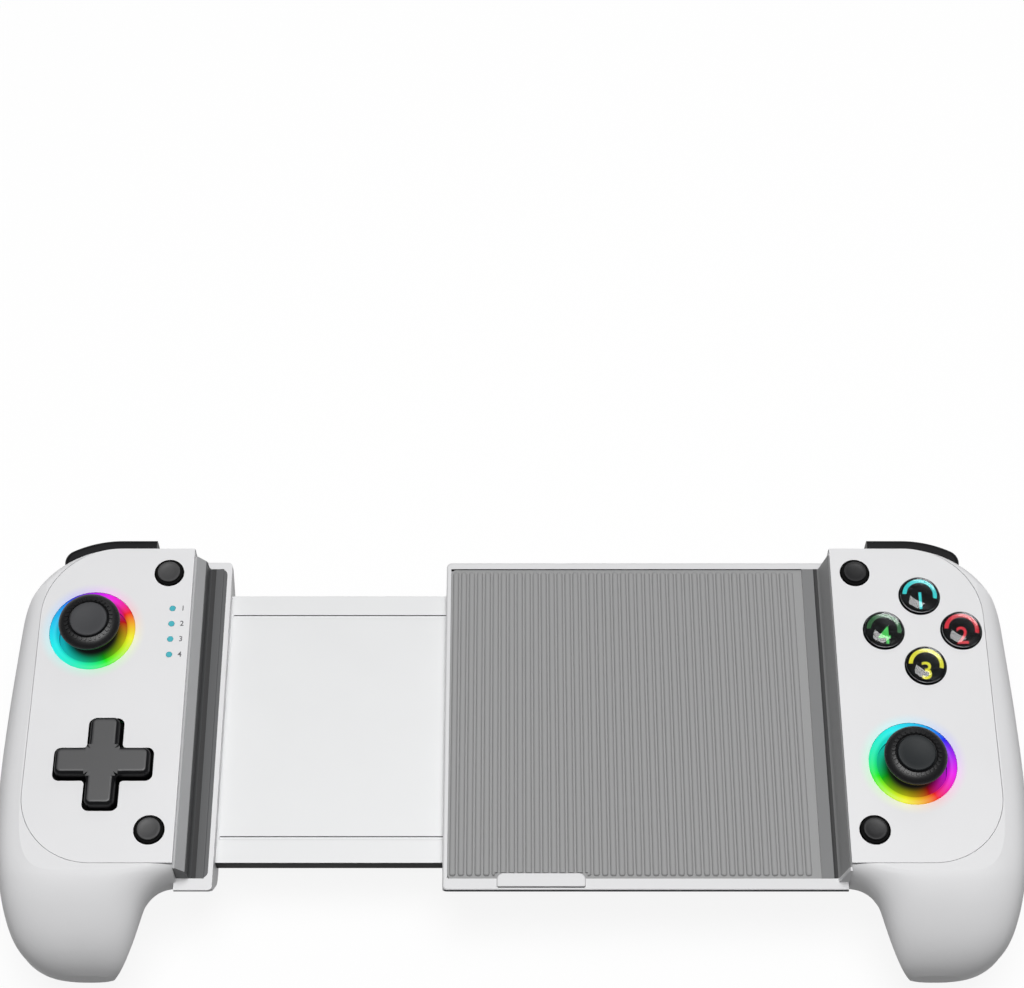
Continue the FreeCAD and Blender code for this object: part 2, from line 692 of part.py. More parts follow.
def dpad():
    """Return the direction pad: a cross with rounded edges on a round rocker."""
    x, y = DPAD_CENTRE
    under = DPAD_FLANGE_TOP + FLANGE_THICKNESS
    cross = prism(plus_outline(DPAD_CENTRE, DPAD_SPAN, DPAD_ARM, DPAD_CORNER),
                  -DPAD_FLANGE_TOP, DPAD_PROUD)
    crown = edges_where(cross, lambda box: box.ZMin > DPAD_PROUD - 0.01)
    cross = cross.makeFillet(0.6, crown)
    rocker = rod(x, y, -under, -DPAD_FLANGE_TOP, DPAD_FLANGE_RADIUS)
    cup = Part.makeSphere(DPAD_BALL_RADIUS + PIN_FIT, Vector(x, y, -DPAD_BALL_DEPTH))
    hub = rod(x, y, -DPAD_BALL_DEPTH + 0.3, -DPAD_FLANGE_TOP, DPAD_BALL_RADIUS + 0.9)
    return cross.fuse([rocker, hub]).cut(cup)


def dpad_ball():
    """Return the ball that the direction pad rocks on."""
    x, y = DPAD_CENTRE
    return Part.makeSphere(DPAD_BALL_RADIUS, Vector(x, y, -DPAD_BALL_DEPTH))


def light_ring(place):
    """Return the translucent ring round a stick, with a flange under the faceplate."""
    flange_top = -FACE_THICKNESS - 0.1
    middle = (LIGHT_RING_RADIUS + LIGHT_RING_BORE) / 2
    return revolved([
        (LIGHT_RING_BORE, flange_top - 0.9),
        (LIGHT_RING_FLANGE, flange_top - 0.9),
        (LIGHT_RING_FLANGE, flange_top),
        (LIGHT_RING_RADIUS, flange_top),
        (LIGHT_RING_RADIUS, 0.05),
        (middle + 0.4, LIGHT_RING_PROUD),
        (middle - 0.4, LIGHT_RING_PROUD),
        (LIGHT_RING_BORE, -0.3),
    ], place[0], place[1])


def stick_base(place):
    """Return the fixed box that carries a stick's gimbal, on its small board."""
    x, y = place
    half = STICK_BOX / 2
    inside = half - 1.0
    body = block(x - half, x + half, y - half, y + half, -STICK_BOX_FLOOR, -STICK_BOX_TOP)
    well = block(x - inside, x + inside, y - inside, y + inside, -STICK_BOX_FLOOR + 1.0, 0)
    bearing = cross_rod(x - half - 1, x + half + 1, y, -STICK_PIVOT, GIMBAL_PIN_RADIUS + PIN_FIT)
    board = block(x - half - 2, x + half + 2, y - half - 2, y + half + 2,
                  -STICK_BOX_FLOOR - BOARD_THICKNESS, -STICK_BOX_FLOOR)
    return body.cut([well, bearing]).fuse(board)


def gimbal_ring(place):
    """Return the outer gimbal frame, whose pins lie along x."""
    x, y = place
    half = GIMBAL_RING / 2
    inside = half - GIMBAL_RING_WIDTH
    z0 = -STICK_PIVOT - GIMBAL_THICKNESS / 2
    z1 = -STICK_PIVOT + GIMBAL_THICKNESS / 2
    frame = block(x - half, x + half, y - half, y + half, z0, z1)
    window = block(x - inside, x + inside, y - inside, y + inside, z0 - 1, z1 + 1)
    reach = STICK_BOX / 2
    pins = [cross_rod(x - reach, x - inside - 0.3, y, -STICK_PIVOT, GIMBAL_PIN_RADIUS),
            cross_rod(x + inside + 0.3, x + reach, y, -STICK_PIVOT, GIMBAL_PIN_RADIUS)]
    bearing = deep_rod(y - half - 1, y + half + 1, x, -STICK_PIVOT, GIMBAL_PIN_RADIUS + PIN_FIT)
    return frame.cut(window).fuse(pins).cut(bearing)


def gimbal_hub(place):
    """Return the inner gimbal hub, whose pins lie along y and whose bore guides the shaft."""
    x, y = place
    half = GIMBAL_HUB / 2
    reach = GIMBAL_RING / 2
    hub = block(x - half, x + half, y - half, y + half,
                -STICK_PIVOT - half * 0.7, -STICK_PIVOT + half * 0.7)
    pins = deep_rod(y - reach, y + reach, x, -STICK_PIVOT, GIMBAL_PIN_RADIUS)
    bore = rod(x, y, -STICK_PIVOT - 10, -STICK_PIVOT + 10, STICK_SHAFT_RADIUS + STICK_BORE_GAP)
    return hub.fuse(pins).cut(bore)


def stick_shaft(place):
    """Return the sliding stick shaft with the dome that closes the ring's opening."""
    x, y = place
    shaft = rod(x, y, -STICK_PIVOT - 2.9, STICK_CAP_TOP - 2.0, STICK_SHAFT_RADIUS)
    ball = Part.makeSphere(STICK_DOME_RADIUS, Vector(x, y, -STICK_PIVOT))
    inner = Part.makeSphere(STICK_DOME_RADIUS - STICK_DOME_WALL, Vector(x, y, -STICK_PIVOT))
    skirt = ball.cut(inner)
    below = block(x - 20, x + 20, y - 20, y + 20, -40, -STICK_PIVOT + 5.2)
    skirt = skirt.cut(below)
    neck = rod(x, y, -0.5, STICK_CAP_UNDER, STICK_NECK_RADIUS).cut(inner)
    return shaft.fuse([skirt, neck])


def stick_cap(place):
    """Return the rubber stick cap: a dished disc, a groove and a sloping shoulder."""
    x, y = place
    top = STICK_CAP_TOP
    disc = STICK_DISC_RADIUS
    return revolved([
        (STICK_SHAFT_RADIUS + 0.02, STICK_CAP_UNDER),
        (STICK_CAP_RADIUS - 1.0, STICK_CAP_UNDER),
        (STICK_CAP_RADIUS - 0.1, STICK_CAP_UNDER + 0.6),
        (STICK_CAP_RADIUS, STICK_CAP_UNDER + 1.2),
        (STICK_CAP_RADIUS - 0.1, top - 1.3),
        (STICK_CAP_RADIUS - 0.9, top - 0.6),
        (disc + 0.9, top - 0.1),
        (disc + 0.45, top - 0.15),
        (disc + 0.3, top - 0.55),
        (disc, top - 0.5),
        (disc - 0.3, top - 0.05),
        (0.0, top - 0.35),
        (0.0, STICK_CAP_TOP - 2.0 + 0.02),
        (STICK_SHAFT_RADIUS + 0.02, STICK_CAP_TOP - 2.0 + 0.02),
    ], x, y)


def board_room(stick_place, post_radius):
    """Return what a board or rubber sheet leaves free: stick, posts and bumper."""
    x, y = stick_place
    room = [rod(x, y, -30, 0, STICK_DOME_RADIUS + 1.2)]
    room += [rod(px, py, -30, 0, post_radius) for px, py in FACE_SCREWS]
    clear_y = bumper_pivot()[1] - BUMPER_BOSS - 0.5
    room.append(block(BUMPER_START - 1.0, 60, clear_y, 60, -30, 0))
    if y > 0:
        room.append(block(x, 60, y, 60, -30, 0))
    return room


def unit_board(stick_place):
    """Return a unit's main board."""
    plate = prism(face_outline(BOARD_MARGIN), -BOARD_TOP - BOARD_THICKNESS, -BOARD_TOP)
    return plate.cut(board_room(stick_place, SCREW_POST_RADIUS + 0.2))


def membrane(stick_place, places, extra):
    """Return the rubber sheet on a board, whose domes stand under each button."""
    base = -BOARD_TOP
    sheet = prism(face_outline(BOARD_MARGIN + 0.6), base, base + MEMBRANE_THICKNESS)
    sheet = sheet.cut(board_room(stick_place, SCREW_POST_RADIUS + SCREW_SHOULDER + 0.2))
    domes = []
    for x, y in places:
        domes.append(Part.makeCone(DOME_RADIUS, 1.7, BOARD_TOP - PLUNGER_FOOT - 0.05,
                                   Vector(x, y, base)))
    return sheet.fuse(domes + extra)


def pad_wall(depth_top, hollow):
    """Return the outline points (x, z) of the rubber that climbs the bay wall."""
    return [
        (0.0, -BAY_DEPTH - PAD_THICKNESS),
        (0.0, -depth_top),
        (-0.9, -depth_top),
        (-1.1, -BAY_DEPTH + hollow + 1.2),
        (-1.5, -BAY_DEPTH + hollow * 0.55 + 0.5),
        (-2.2, -BAY_DEPTH + 0.35),
    ]


def bay_profile(points, y0, y1):
    """Return the solid that a closed outline of (x, z) points sweeps along y."""
    corners = [Vector(x, y0, z) for x, z in points]
    wire = Part.makePolygon(corners + corners[:1])
    return Part.Face(wire).extrude(Vector(0, y1 - y0, 0))


def cheek_pad():
    """Return the left unit's rubber pad: bay wall, groove and floor strip in one moulding."""
    floor = -BAY_DEPTH
    inner = -LEDGE_WIDTH + RIM
    points = pad_wall(0.5, 1.6) + [
        (-2.6, floor - 0.25),
        (-3.0, floor - 0.25),
        (-3.4, floor),
        (inner, floor),
        (inner, floor - PAD_THICKNESS),
    ]
    return bay_profile(points, PAD_BOTTOM, PAD_TOP).common(cheek_room())


def cheek_room():
    """Return the upright room of the cheek pad, with its two round corners."""
    return prism(rounded_outline([
        (-LEDGE_WIDTH + RIM, PAD_BOTTOM, CHEEK_CORNER),
        (0.0, PAD_BOTTOM, 0.0),
        (0.0, PAD_TOP, 0.0),
        (-LEDGE_WIDTH + RIM, PAD_TOP, CHEEK_CORNER),
    ]), -BAY_DEPTH - PAD_THICKNESS, 0)


def ledge():
    """Return the short ledge on the left unit that the phone's left edge lies on."""
    form = prism(rounded_outline([
        (-LEDGE_WIDTH, TRAY_BOTTOM, 1.0),
        (0.4, TRAY_BOTTOM, 0.0),
        (0.4, TRAY_TOP, 0.0),
        (-LEDGE_WIDTH, TRAY_TOP, 1.0),
    ]), -TRAY_DEPTH, -BAY_DEPTH)
    form = form.common(tray_section(0.0))
    recess = cheek_room()
    side = block(0, 2, TRAY_BOTTOM - 1, TRAY_TOP + 1, -BAY_DEPTH, 10)
    return form.cut([recess, side])


def plate_slot(x0, x1, fit):
    """Return the space that the slide plate takes up, with a fit all round."""
    return block(x0, x1, PLATE_LOWER - fit, PLATE_UPPER + fit,
                 -PLATE_TOP - PLATE_THICKNESS - fit, -PLATE_TOP + fit)


def slide_plate():
    """Return the flat plate that joins the two units, with its two long grooves."""
    inner = -LEDGE_WIDTH
    end = inner - PLATE_LENGTH
    plate = plate_slot(end, PLATE_ROOT, 0.0)
    upper = PLATE_UPPER - PLATE_GROOVE_INSET
    lower = PLATE_LOWER + PLATE_GROOVE_INSET + 0.6
    grooves = [block(end - 1, inner - 0.6, y - 0.35, y + 0.35, -PLATE_TOP - 0.4, 0)
               for y in (upper, lower)]
    return plate.cut(grooves)


def tray_front():
    """Return the tray's front shell: the phone's floor, its rim and its leaning side walls."""
    outer = prism(tray_outline(), -TRAY_DEPTH + BACK_COVER, -BAY_DEPTH)
    edge = edges_where(outer, lambda box: box.ZMin > -BAY_DEPTH - 0.01 and box.XMin < -1.0)
    outer = outer.makeFillet(0.5, edge).common(tray_section(0.0))
    recess = block(-TRAY_LENGTH + RIM, 1, PAD_BOTTOM, PAD_TOP, -BAY_DEPTH - PAD_THICKNESS, 0)
    room = block(-TRAY_LENGTH + TRAY_WALL, -TRAY_WALL, TRAY_BOTTOM, TRAY_TOP, -30,
                 -PLATE_TOP + 0.4).common(tray_section(TRAY_WALL))
    below = block(-TRAY_LENGTH + TRAY_WALL, -TRAY_WALL, PLATE_LOWER - SLIDE_GAP - RAIL_WIDTH,
                  PLATE_UPPER + SLIDE_GAP + RAIL_WIDTH, -30, -PLATE_TOP + 0.4)
    mouth = plate_slot(-TRAY_LENGTH - 1, -TRAY_LENGTH + 5, SLIDE_GAP)
    body = outer.cut([recess, room, below, mouth] + tray_clips(0.1))
    return body.fuse(lift_tab())


def tray_clips(fit):
    """Return the snap hooks along both sides of the rear cover, grown by a fit."""
    low = PLATE_LOWER - SLIDE_GAP - RAIL_WIDTH - 0.25
    high = PLATE_UPPER + SLIDE_GAP + RAIL_WIDTH + 0.1
    root = -TRAY_DEPTH + BACK_COVER
    clips = []
    for x in (-TRAY_LENGTH + CLIP_INSET, -TRAY_LENGTH / 2, -CLIP_INSET):
        x0 = x - CLIP_LENGTH / 2 - fit
        x1 = x + CLIP_LENGTH / 2 + fit
        for inner, out in ((low, -1), (high, 1)):
            outer = inner + out * (CLIP_THICKNESS + fit)
            tip = inner + out * (CLIP_THICKNESS + CLIP_HOOK + fit)
            tongue = block(x0, x1, min(inner, outer), max(inner, outer), root, -CLIP_TOP + fit)
            hook = block(x0, x1, min(inner, tip), max(inner, tip), -CLIP_TOP - 1.1 - fit,
                         -CLIP_TOP + fit)
            clips.append(tongue.fuse(hook))
    return clips


def tray_outline():
    """Return the tray's outline in plan."""
    return rounded_outline([
        (-TRAY_LENGTH, TRAY_BOTTOM, 1.2),
        (0.0, TRAY_BOTTOM, 0.0),
        (0.0, TRAY_TOP, 0.0),
        (-TRAY_LENGTH, TRAY_TOP, 1.2),
    ])


def tab_outline(fit):
    """Return the lift tab's outline in plan."""
    start = -TRAY_LENGTH + TAB_START - fit
    end = start + TAB_LENGTH + 2 * fit
    return rounded_outline([
        (start, TRAY_BOTTOM + 0.6, 0.5),
        (end, TRAY_BOTTOM + 0.6, 0.5),
        (end, PAD_BOTTOM + 1.2 + fit, 1.6),
        (start, PAD_BOTTOM + 1.2 + fit, 1.6),
    ])


def lift_tab():
    """Return the raised tab on the tray's lower rim."""
    tab = prism(tab_outline(0.0), -BAY_DEPTH - PAD_THICKNESS, -BAY_DEPTH + TAB_RISE)
    crown = edges_where(tab, lambda box: box.ZMin > -BAY_DEPTH + TAB_RISE - 0.01)
    return tab.makeFillet(0.35, crown)


def tray_back():
    """Return the tray's rear cover with its snap hooks."""
    cover = prism(tray_outline(), -TRAY_DEPTH, -TRAY_DEPTH + BACK_COVER)
    return cover.common(tray_section(0.0)).fuse(tray_clips(0.0))


def rib_grooves(x0, x1):
    """Return the slots between the pad's ribs, from one end of the pad to the other."""
    count = int((x1 - x0) / RIB_PITCH)
    slack = (x1 - x0 - count * RIB_PITCH) / 2
    floor = -BAY_DEPTH - RIB_DEPTH
    slots = []
    for index in range(count + 1):
        x = x0 + slack + index * RIB_PITCH - RIB_GROOVE / 2
        slots.append(block(x, x + RIB_GROOVE, PAD_BOTTOM + RIB_MARGIN, PAD_TOP - RIB_MARGIN,
                           floor, 0))
    return slots


def tray_pad():
    """Return the ribbed rubber pad that the phone lies on."""
    x0 = -TRAY_LENGTH + RIM
    x1 = -6.0
    pad = prism(rounded_outline([
        (x0, PAD_BOTTOM, 0.8),
        (x1, PAD_BOTTOM, 0.0),
        (x1, PAD_TOP, 0.0),
        (x0, PAD_TOP, 0.8),
    ]), -BAY_DEPTH - PAD_THICKNESS, -BAY_DEPTH)
    notch = prism(tab_outline(0.05), -30, 10)
    return pad.cut(rib_grooves(x0 + 1.4, x1 - 0.8) + [notch])


def bay_pad():
    """Return the smooth rubber that runs from the ribbed pad up the right bay wall."""
    floor = -BAY_DEPTH
    points = [
        (0.0, floor - PAD_THICKNESS),
        (0.0, -0.5),
        (-0.9, -0.5),
        (-1.1, floor + 4.0),
        (-1.7, floor + 2.0),
        (-2.8, floor + 0.8),
        (-4.4, floor + 0.15),
        (-6.0, floor),
        (-6.0, floor - PAD_THICKNESS),
    ]
    return bay_profile(points, PAD_BOTTOM, PAD_TOP)


def slide_rails():
    """Return the two rails in the tray that guide the slide plate's edges."""
    x0 = -TRAY_LENGTH + TRAY_WALL
    x1 = -TRAY_WALL
    z0 = -TRAY_DEPTH + BACK_COVER
    z1 = -PLATE_TOP + 0.4
    high = PLATE_UPPER + SLIDE_GAP
    low = PLATE_LOWER - SLIDE_GAP
    return Part.makeCompound([
        block(x0, x1, high, high + RAIL_WIDTH, z0, z1),
        block(x0, x1, low - RAIL_WIDTH, low, z0, z1),
    ])


def brake_strips():
    """Return the two felt strips that press on the slide plate and hold it where it is put."""
    z0 = -TRAY_DEPTH + BACK_COVER
    z1 = -PLATE_TOP - PLATE_THICKNESS
    x0 = -TRAY_LENGTH + TRAY_WALL + 0.6
    return Part.makeCompound([
        block(x0, x0 + 9, y - 4, y + 4, z0, z1) for y in (-22.0, 18.0)])


def battery():
    """Return the flat rechargeable cell in the right handle."""
    dx, dy, dz = BATTERY_SIZE
    x, y = BATTERY_PLACE
    cell = block(x, x + dx, y, y + dy, -BATTERY_BOTTOM, -BATTERY_BOTTOM + dz)
    long_edges = [edge for edge in cell.Edges if edge.BoundBox.YLength > dy - 0.1]
    return cell.makeFillet(2.0, long_edges)


def battery_ribs():
    """Return the two ribs on the right shell's rear wall that the cell lies on."""
    dx, dy, dz = BATTERY_SIZE
    x, y = BATTERY_PLACE
    return [block(x + 2, x + dx - 2, y + share * dy - 0.7, y + share * dy + 0.7,
                  -STANCE_DEPTH, -BATTERY_BOTTOM) for share in (0.2, 0.8)]


def slot_form(width, height, x, z, y0, y1):
    """Return a bar with half-round ends in section, that lies along y."""
    radius = height / 2 - 0.01
    bar = block(x - width / 2, x + width / 2, y0, y1, z - height / 2, z + height / 2)
    long_edges = [edge for edge in bar.Edges if edge.BoundBox.YLength > y1 - y0 - 0.01]
    return bar.makeFillet(radius, long_edges)


def charge_socket():
    """Return the charging socket in the upper wall."""
    y1 = SHELL_TOP - 0.3
    y0 = y1 - SOCKET_DEPTH
    outer = slot_form(SOCKET_WIDTH, SOCKET_HEIGHT, SOCKET_X, -SOCKET_DROP, y0, y1)
    inner = slot_form(SOCKET_WIDTH - 0.6, SOCKET_HEIGHT - 0.6, SOCKET_X, -SOCKET_DROP, y0 + 1, y1 + 1)
    tongue = block(SOCKET_X - 3.3, SOCKET_X + 3.3, y0 + 0.5, y1 - 1.2,
                   -SOCKET_DROP - 0.35, -SOCKET_DROP + 0.35)
    return outer.cut(inner).fuse(tongue)


def player_lamps():
    """Return the four light pipes, joined by a bar under the faceplate."""
    pipes = []
    for index in range(LAMP_COUNT):
        y = LAMP_TOP - index * LAMP_PITCH
        pipes.append(rod(LAMP_X, y, -FACE_THICKNESS - 0.2, 0.05, LAMP_RADIUS - 0.05))
    low = LAMP_TOP - (LAMP_COUNT - 1) * LAMP_PITCH
    bar = block(LAMP_X - 1.2, LAMP_X + 1.2, low - 1.2, LAMP_TOP + 1.2,
                -FACE_THICKNESS - 1.2, -FACE_THICKNESS - 0.1)
    return bar.fuse(pipes)


def place_right(shape):
    """Move a unit shape to the right-hand side of the whole controller."""
    moved = shape.copy()
    moved.translate(Vector(BAY_WIDTH / 2, MIDDLE_SHIFT, STANCE_DEPTH))
    return moved


def place_left(shape):
    """Mirror a unit shape and move it to the left-hand side of the whole controller."""
    mirrored = shape.mirror(Vector(0, 0, 0), Vector(1, 0, 0))
    mirrored.translate(Vector(-BAY_WIDTH / 2, MIDDLE_SHIFT, STANCE_DEPTH))
    return mirrored


def write(name, shape):
    """Write one node's file."""
    shape.exportStep("parts/" + name + ".step")
    box = shape.BoundBox
    print(name, len(shape.Solids), shape.isValid(), round(shape.Volume), "box",
          [round(v, 2) for v in (box.XMin, box.XMax, box.YMin, box.YMax, box.ZMin, box.ZMax)])


def write_shared_pieces():
    """Write the pieces that both units have, as mirror images."""
    sides = [("left", place_left, STICK_UPPER), ("right", place_right, STICK_LOWER)]
    for side, place, stick in sides:
        write(side + "_light_ring", place(light_ring(stick)))
        write(side + "_stick_base", place(stick_base(stick)))
        write(side + "_stick_outer_gimbal", place(gimbal_ring(stick)))
        write(side + "_stick_inner_gimbal", place(gimbal_hub(stick)))
        write(side + "_stick_shaft", place(stick_shaft(stick)))
        write(side + "_stick_cap", place(stick_cap(stick)))
        write(side + "_bumper", place(bumper()))
        write(side + "_bumper_pin", place(bumper_pin()))
        write(side + "_trigger", place(trigger()))
        write(side + "_trigger_pin", place(trigger_pin()))
        write(side + "_trigger_spring", place(trigger_spring()))
        write(side + "_shell_screws", place(face_screws()))


def small_button_places():
    """Return the centres of a unit's upper and lower small buttons."""
    return (SMALL_BUTTON_X, SMALL_BUTTON_UPPER), (SMALL_BUTTON_X, SMALL_BUTTON_LOWER)


def left_membrane(small_places):
    """Return the left rubber sheet, with the cup that the direction pad's ball sits in."""
    x, y = DPAD_CENTRE
    domes = [(x + 8, y), (x - 8, y), (x, y + 8), (x, y - 8)] + list(small_places)
    seat = rod(x, y, -BOARD_TOP, -DPAD_BALL_DEPTH - 0.4, 2.0)
    cup = Part.makeSphere(DPAD_BALL_RADIUS + PIN_FIT, Vector(x, y, -DPAD_BALL_DEPTH))
    return membrane(STICK_UPPER, domes, [seat]).cut(cup)


def write_left_unit(walls, outer):
    """Write the pieces that only the left unit has."""
    upper, lower = small_button_places()
    hole = SMALL_BUTTON_RADIUS + BUTTON_FIT
    cross_hole = prism(plus_outline(DPAD_CENTRE, DPAD_SPAN + 2 * DPAD_FIT,
                                    DPAD_ARM + 2 * DPAD_FIT, DPAD_CORNER), -10, 10)
    lamps = [face_hole(LAMP_X, LAMP_TOP - index * LAMP_PITCH, LAMP_RADIUS)
             for index in range(LAMP_COUNT)]
    holes = [face_hole(*upper, hole), face_hole(*lower, hole), stick_hole(STICK_UPPER), cross_hole]
    notches = [rod(*STICK_UPPER, -FACE_THICKNESS - 2, 0, LIGHT_RING_FLANGE + 0.2)]
    body = shell(walls, outer, STICK_UPPER, [], notches).fuse(ledge())
    write("left_shell", place_left(body.cut(plate_slot(-20, PLATE_ROOT, 0.0))))
    write("left_faceplate", place_left(faceplate(holes + lamps)))
    write("left_board", place_left(unit_board(STICK_UPPER)))
    write("left_membrane", place_left(left_membrane((upper, lower))))
    write("cheek_pad", place_left(cheek_pad()))
    write("slide_plate", place_left(slide_plate()))
    write("player_lamps", place_left(player_lamps()))
    write("dpad", place_left(dpad()))
    write("dpad_ball", place_left(dpad_ball()))
    write("select_button", place_left(small_button(*upper)))
    write("turbo_button", place_left(small_button(*lower)))


def write_right_unit(walls, outer):
    """Write the pieces that only the right unit and the tray have."""
    upper, lower = small_button_places()
    hole = SMALL_BUTTON_RADIUS + BUTTON_FIT
    places = action_places()
    holes = [face_hole(*upper, hole), face_hole(*lower, hole), stick_hole(STICK_LOWER)]
    holes += [face_hole(*place, ACTION_RADIUS + BUTTON_FIT) for place in places.values()]
    socket_hole = slot_form(SOCKET_WIDTH + 0.2, SOCKET_HEIGHT + 0.2, SOCKET_X, -SOCKET_DROP,
                            SHELL_TOP - SOCKET_DEPTH - 1, SHELL_TOP + 5)
    flange_room = rod(*places["action_button_right"], -FACE_THICKNESS - 3, 0, ACTION_RADIUS + 1.1)
    body = shell(walls, outer, STICK_LOWER, battery_ribs(), [socket_hole, flange_room])
    domes = list(places.values()) + [upper, lower]
    write("right_shell", place_right(body))
    write("right_faceplate", place_right(faceplate(holes)))
    write("right_board", place_right(unit_board(STICK_LOWER)))
    write("right_membrane", place_right(membrane(STICK_LOWER, domes, [])))
    write("bay_pad", place_right(bay_pad()))
    write("tray_front", place_right(tray_front()))
    write("tray_back", place_right(tray_back()))
    write("tray_pad", place_right(tray_pad()))
    write("slide_rails", place_right(slide_rails()))
    write("brake_strips", place_right(brake_strips()))
    write("battery", place_right(battery()))
    write("charge_socket", place_right(charge_socket()))
    write("start_button", place_right(small_button(*upper)))
    write("home_button", place_right(small_button(*lower)))
    for name, place in places.items():
        write(name, place_right(action_button(*place)))


handle = handle_form(0.0)
common_walls = shell_walls(handle)
write_shared_pieces()
write_left_unit(common_walls, handle)
write_right_unit(common_walls, handle)
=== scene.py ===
# %% [markdown]
# A telescopic phone controller, dressed for its picture.
# The frame holds every working piece at its real size and place. This lesson gives each piece
# the surface and the soft edges of the real one, and never moves what the frame holds.
# It starts by loading the frame.

# %% Load the frame
import json
import math

import bmesh
import bpy
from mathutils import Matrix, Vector

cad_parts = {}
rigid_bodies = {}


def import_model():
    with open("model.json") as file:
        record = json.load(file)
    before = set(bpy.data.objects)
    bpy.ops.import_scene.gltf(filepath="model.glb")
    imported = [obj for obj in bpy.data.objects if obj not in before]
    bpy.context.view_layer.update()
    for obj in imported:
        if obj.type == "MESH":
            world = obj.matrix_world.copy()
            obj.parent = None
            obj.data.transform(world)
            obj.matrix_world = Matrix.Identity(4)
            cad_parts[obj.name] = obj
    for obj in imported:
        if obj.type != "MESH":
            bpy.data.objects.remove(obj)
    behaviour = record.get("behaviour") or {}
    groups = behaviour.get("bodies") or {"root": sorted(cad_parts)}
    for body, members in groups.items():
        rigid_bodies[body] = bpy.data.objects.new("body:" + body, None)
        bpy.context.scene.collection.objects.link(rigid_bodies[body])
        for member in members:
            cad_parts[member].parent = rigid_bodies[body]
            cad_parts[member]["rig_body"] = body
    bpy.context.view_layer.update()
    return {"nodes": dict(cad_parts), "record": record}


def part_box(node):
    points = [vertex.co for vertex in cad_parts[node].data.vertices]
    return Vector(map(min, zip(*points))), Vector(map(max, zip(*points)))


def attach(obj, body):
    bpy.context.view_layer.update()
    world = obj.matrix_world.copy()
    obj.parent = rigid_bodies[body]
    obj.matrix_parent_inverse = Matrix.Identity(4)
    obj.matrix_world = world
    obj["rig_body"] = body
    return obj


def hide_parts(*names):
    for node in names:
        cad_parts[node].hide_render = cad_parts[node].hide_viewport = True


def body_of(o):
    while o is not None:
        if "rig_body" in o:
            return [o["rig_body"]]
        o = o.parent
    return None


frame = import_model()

MM = 0.001
bpy.ops.object.select_all(action="DESELECT")

# %% [markdown]
# The two handle units are mirror images in their main sizes. The bay wall of the right faceplate,
# the faceplates' top and their middle line are the three lines that everything is placed from,
# so they are read from the frame once.

# %% Main lines of the controller
plate_low, plate_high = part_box("right_faceplate")
BAY_X = plate_low.x
FACE_Z = plate_high.z
MIDDLE_Y = (plate_low.y + plate_high.y) / 2
SIDES = {"left": -1, "right": 1}
print("bay wall", BAY_X, "face", FACE_Z, "middle", MIDDLE_Y)


def centre_of(node):
    """Return the middle of a node's box."""
    low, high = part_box(node)
    return (low + high) / 2


def unit_point(side, x, z):
    """Return a place on the middle line, in millimetres from a unit's bay wall and face."""
    return Vector((SIDES[side] * (BAY_X + x * MM), MIDDLE_Y, FACE_Z + z * MM))


# %% [markdown]
# Materials come first. A shader tree is easier to read when each step is one short line, so a few
# helpers place nodes and join sockets. They take sockets and plain values alike. The last one
# opens a principled shader with the values that are the same all over the surface.

# %% Helpers for shader trees
def place(tree, kind, **settings):
    """Add a node, set its properties, and set inputs given as a dictionary."""
    node = tree.nodes.new(kind)
    inputs = settings.pop("inputs", {})
    for name, value in settings.items():
        setattr(node, name, value)
    for key, value in inputs.items():
        node.inputs[key].default_value = value
    return node


def feed(tree, socket, value):
    """Join an output to a socket, or set the socket where the value is plain."""
    if isinstance(value, bpy.types.NodeSocket):
        tree.links.new(value, socket)
    else:
        socket.default_value = value


def compute(tree, operation, *values):
    """Return the result of a math node."""
    node = place(tree, "ShaderNodeMath", operation=operation)
    for slot, value in enumerate(values):
        feed(tree, node.inputs[slot], value)
    return node.outputs[0]


def blend(tree, share, first, second, mode="MIX"):
    """Return a colour between two others."""
    node = place(tree, "ShaderNodeMix", data_type="RGBA", blend_type=mode)
    for label, value in (("Factor", share), ("A", first), ("B", second)):
        feed(tree, node.inputs[label], value)
    return node.outputs["Result"]


def remap(tree, value, low, high, kind="LINEAR", start=0.0, end=1.0):
    """Return a value that runs from low to high while the given one runs from start to end."""
    node = place(tree, "ShaderNodeMapRange", interpolation_type=kind,
                 inputs={"From Min": start, "From Max": end, "To Min": low, "To Max": high})
    tree.links.new(value, node.inputs["Value"])
    return node.outputs["Result"]


def new_group(name, inputs, outputs):
    """Open a shader node group with named inputs and outputs."""
    tree = bpy.data.node_groups.new(name, "ShaderNodeTree")
    for label, value in inputs.items():
        socket = tree.interface.new_socket(label, in_out="INPUT", socket_type="NodeSocketFloat")
        socket.default_value = value
    for label, kind in outputs.items():
        tree.interface.new_socket(label, in_out="OUTPUT", socket_type=kind)
    return tree, place(tree, "NodeGroupInput"), place(tree, "NodeGroupOutput")


def use_group(tree, group, **values):
    """Place a node group in a tree with its own values."""
    node = place(tree, "ShaderNodeGroup", node_tree=group)
    for label, value in values.items():
        node.inputs[label.replace("_", " ")].default_value = value
    return node


def open_material(name, colour, roughness, **plain):
    """Start a material on one principled shader, with its plain values set on the shader."""
    material = bpy.data.materials.new(name)
    material.use_nodes = True
    material.diffuse_color = (*colour, 1)
    tree = material.node_tree
    shader = tree.nodes["Principled BSDF"]
    shader.inputs["Base Color"].default_value = (*colour, 1)
    shader.inputs["Roughness"].default_value = roughness
    for label, value in plain.items():
        shader.inputs[label.replace("_", " ")].default_value = value
    return material, tree, shader


# %% [markdown]
# Moulded plastic is never quite even. A fine grain breaks the highlight, and slow cloudy patches
# change the gloss where the mould was hotter or where hands have polished it. Both come from
# noise on object coordinates, in one group that all the plastics and rubbers share.

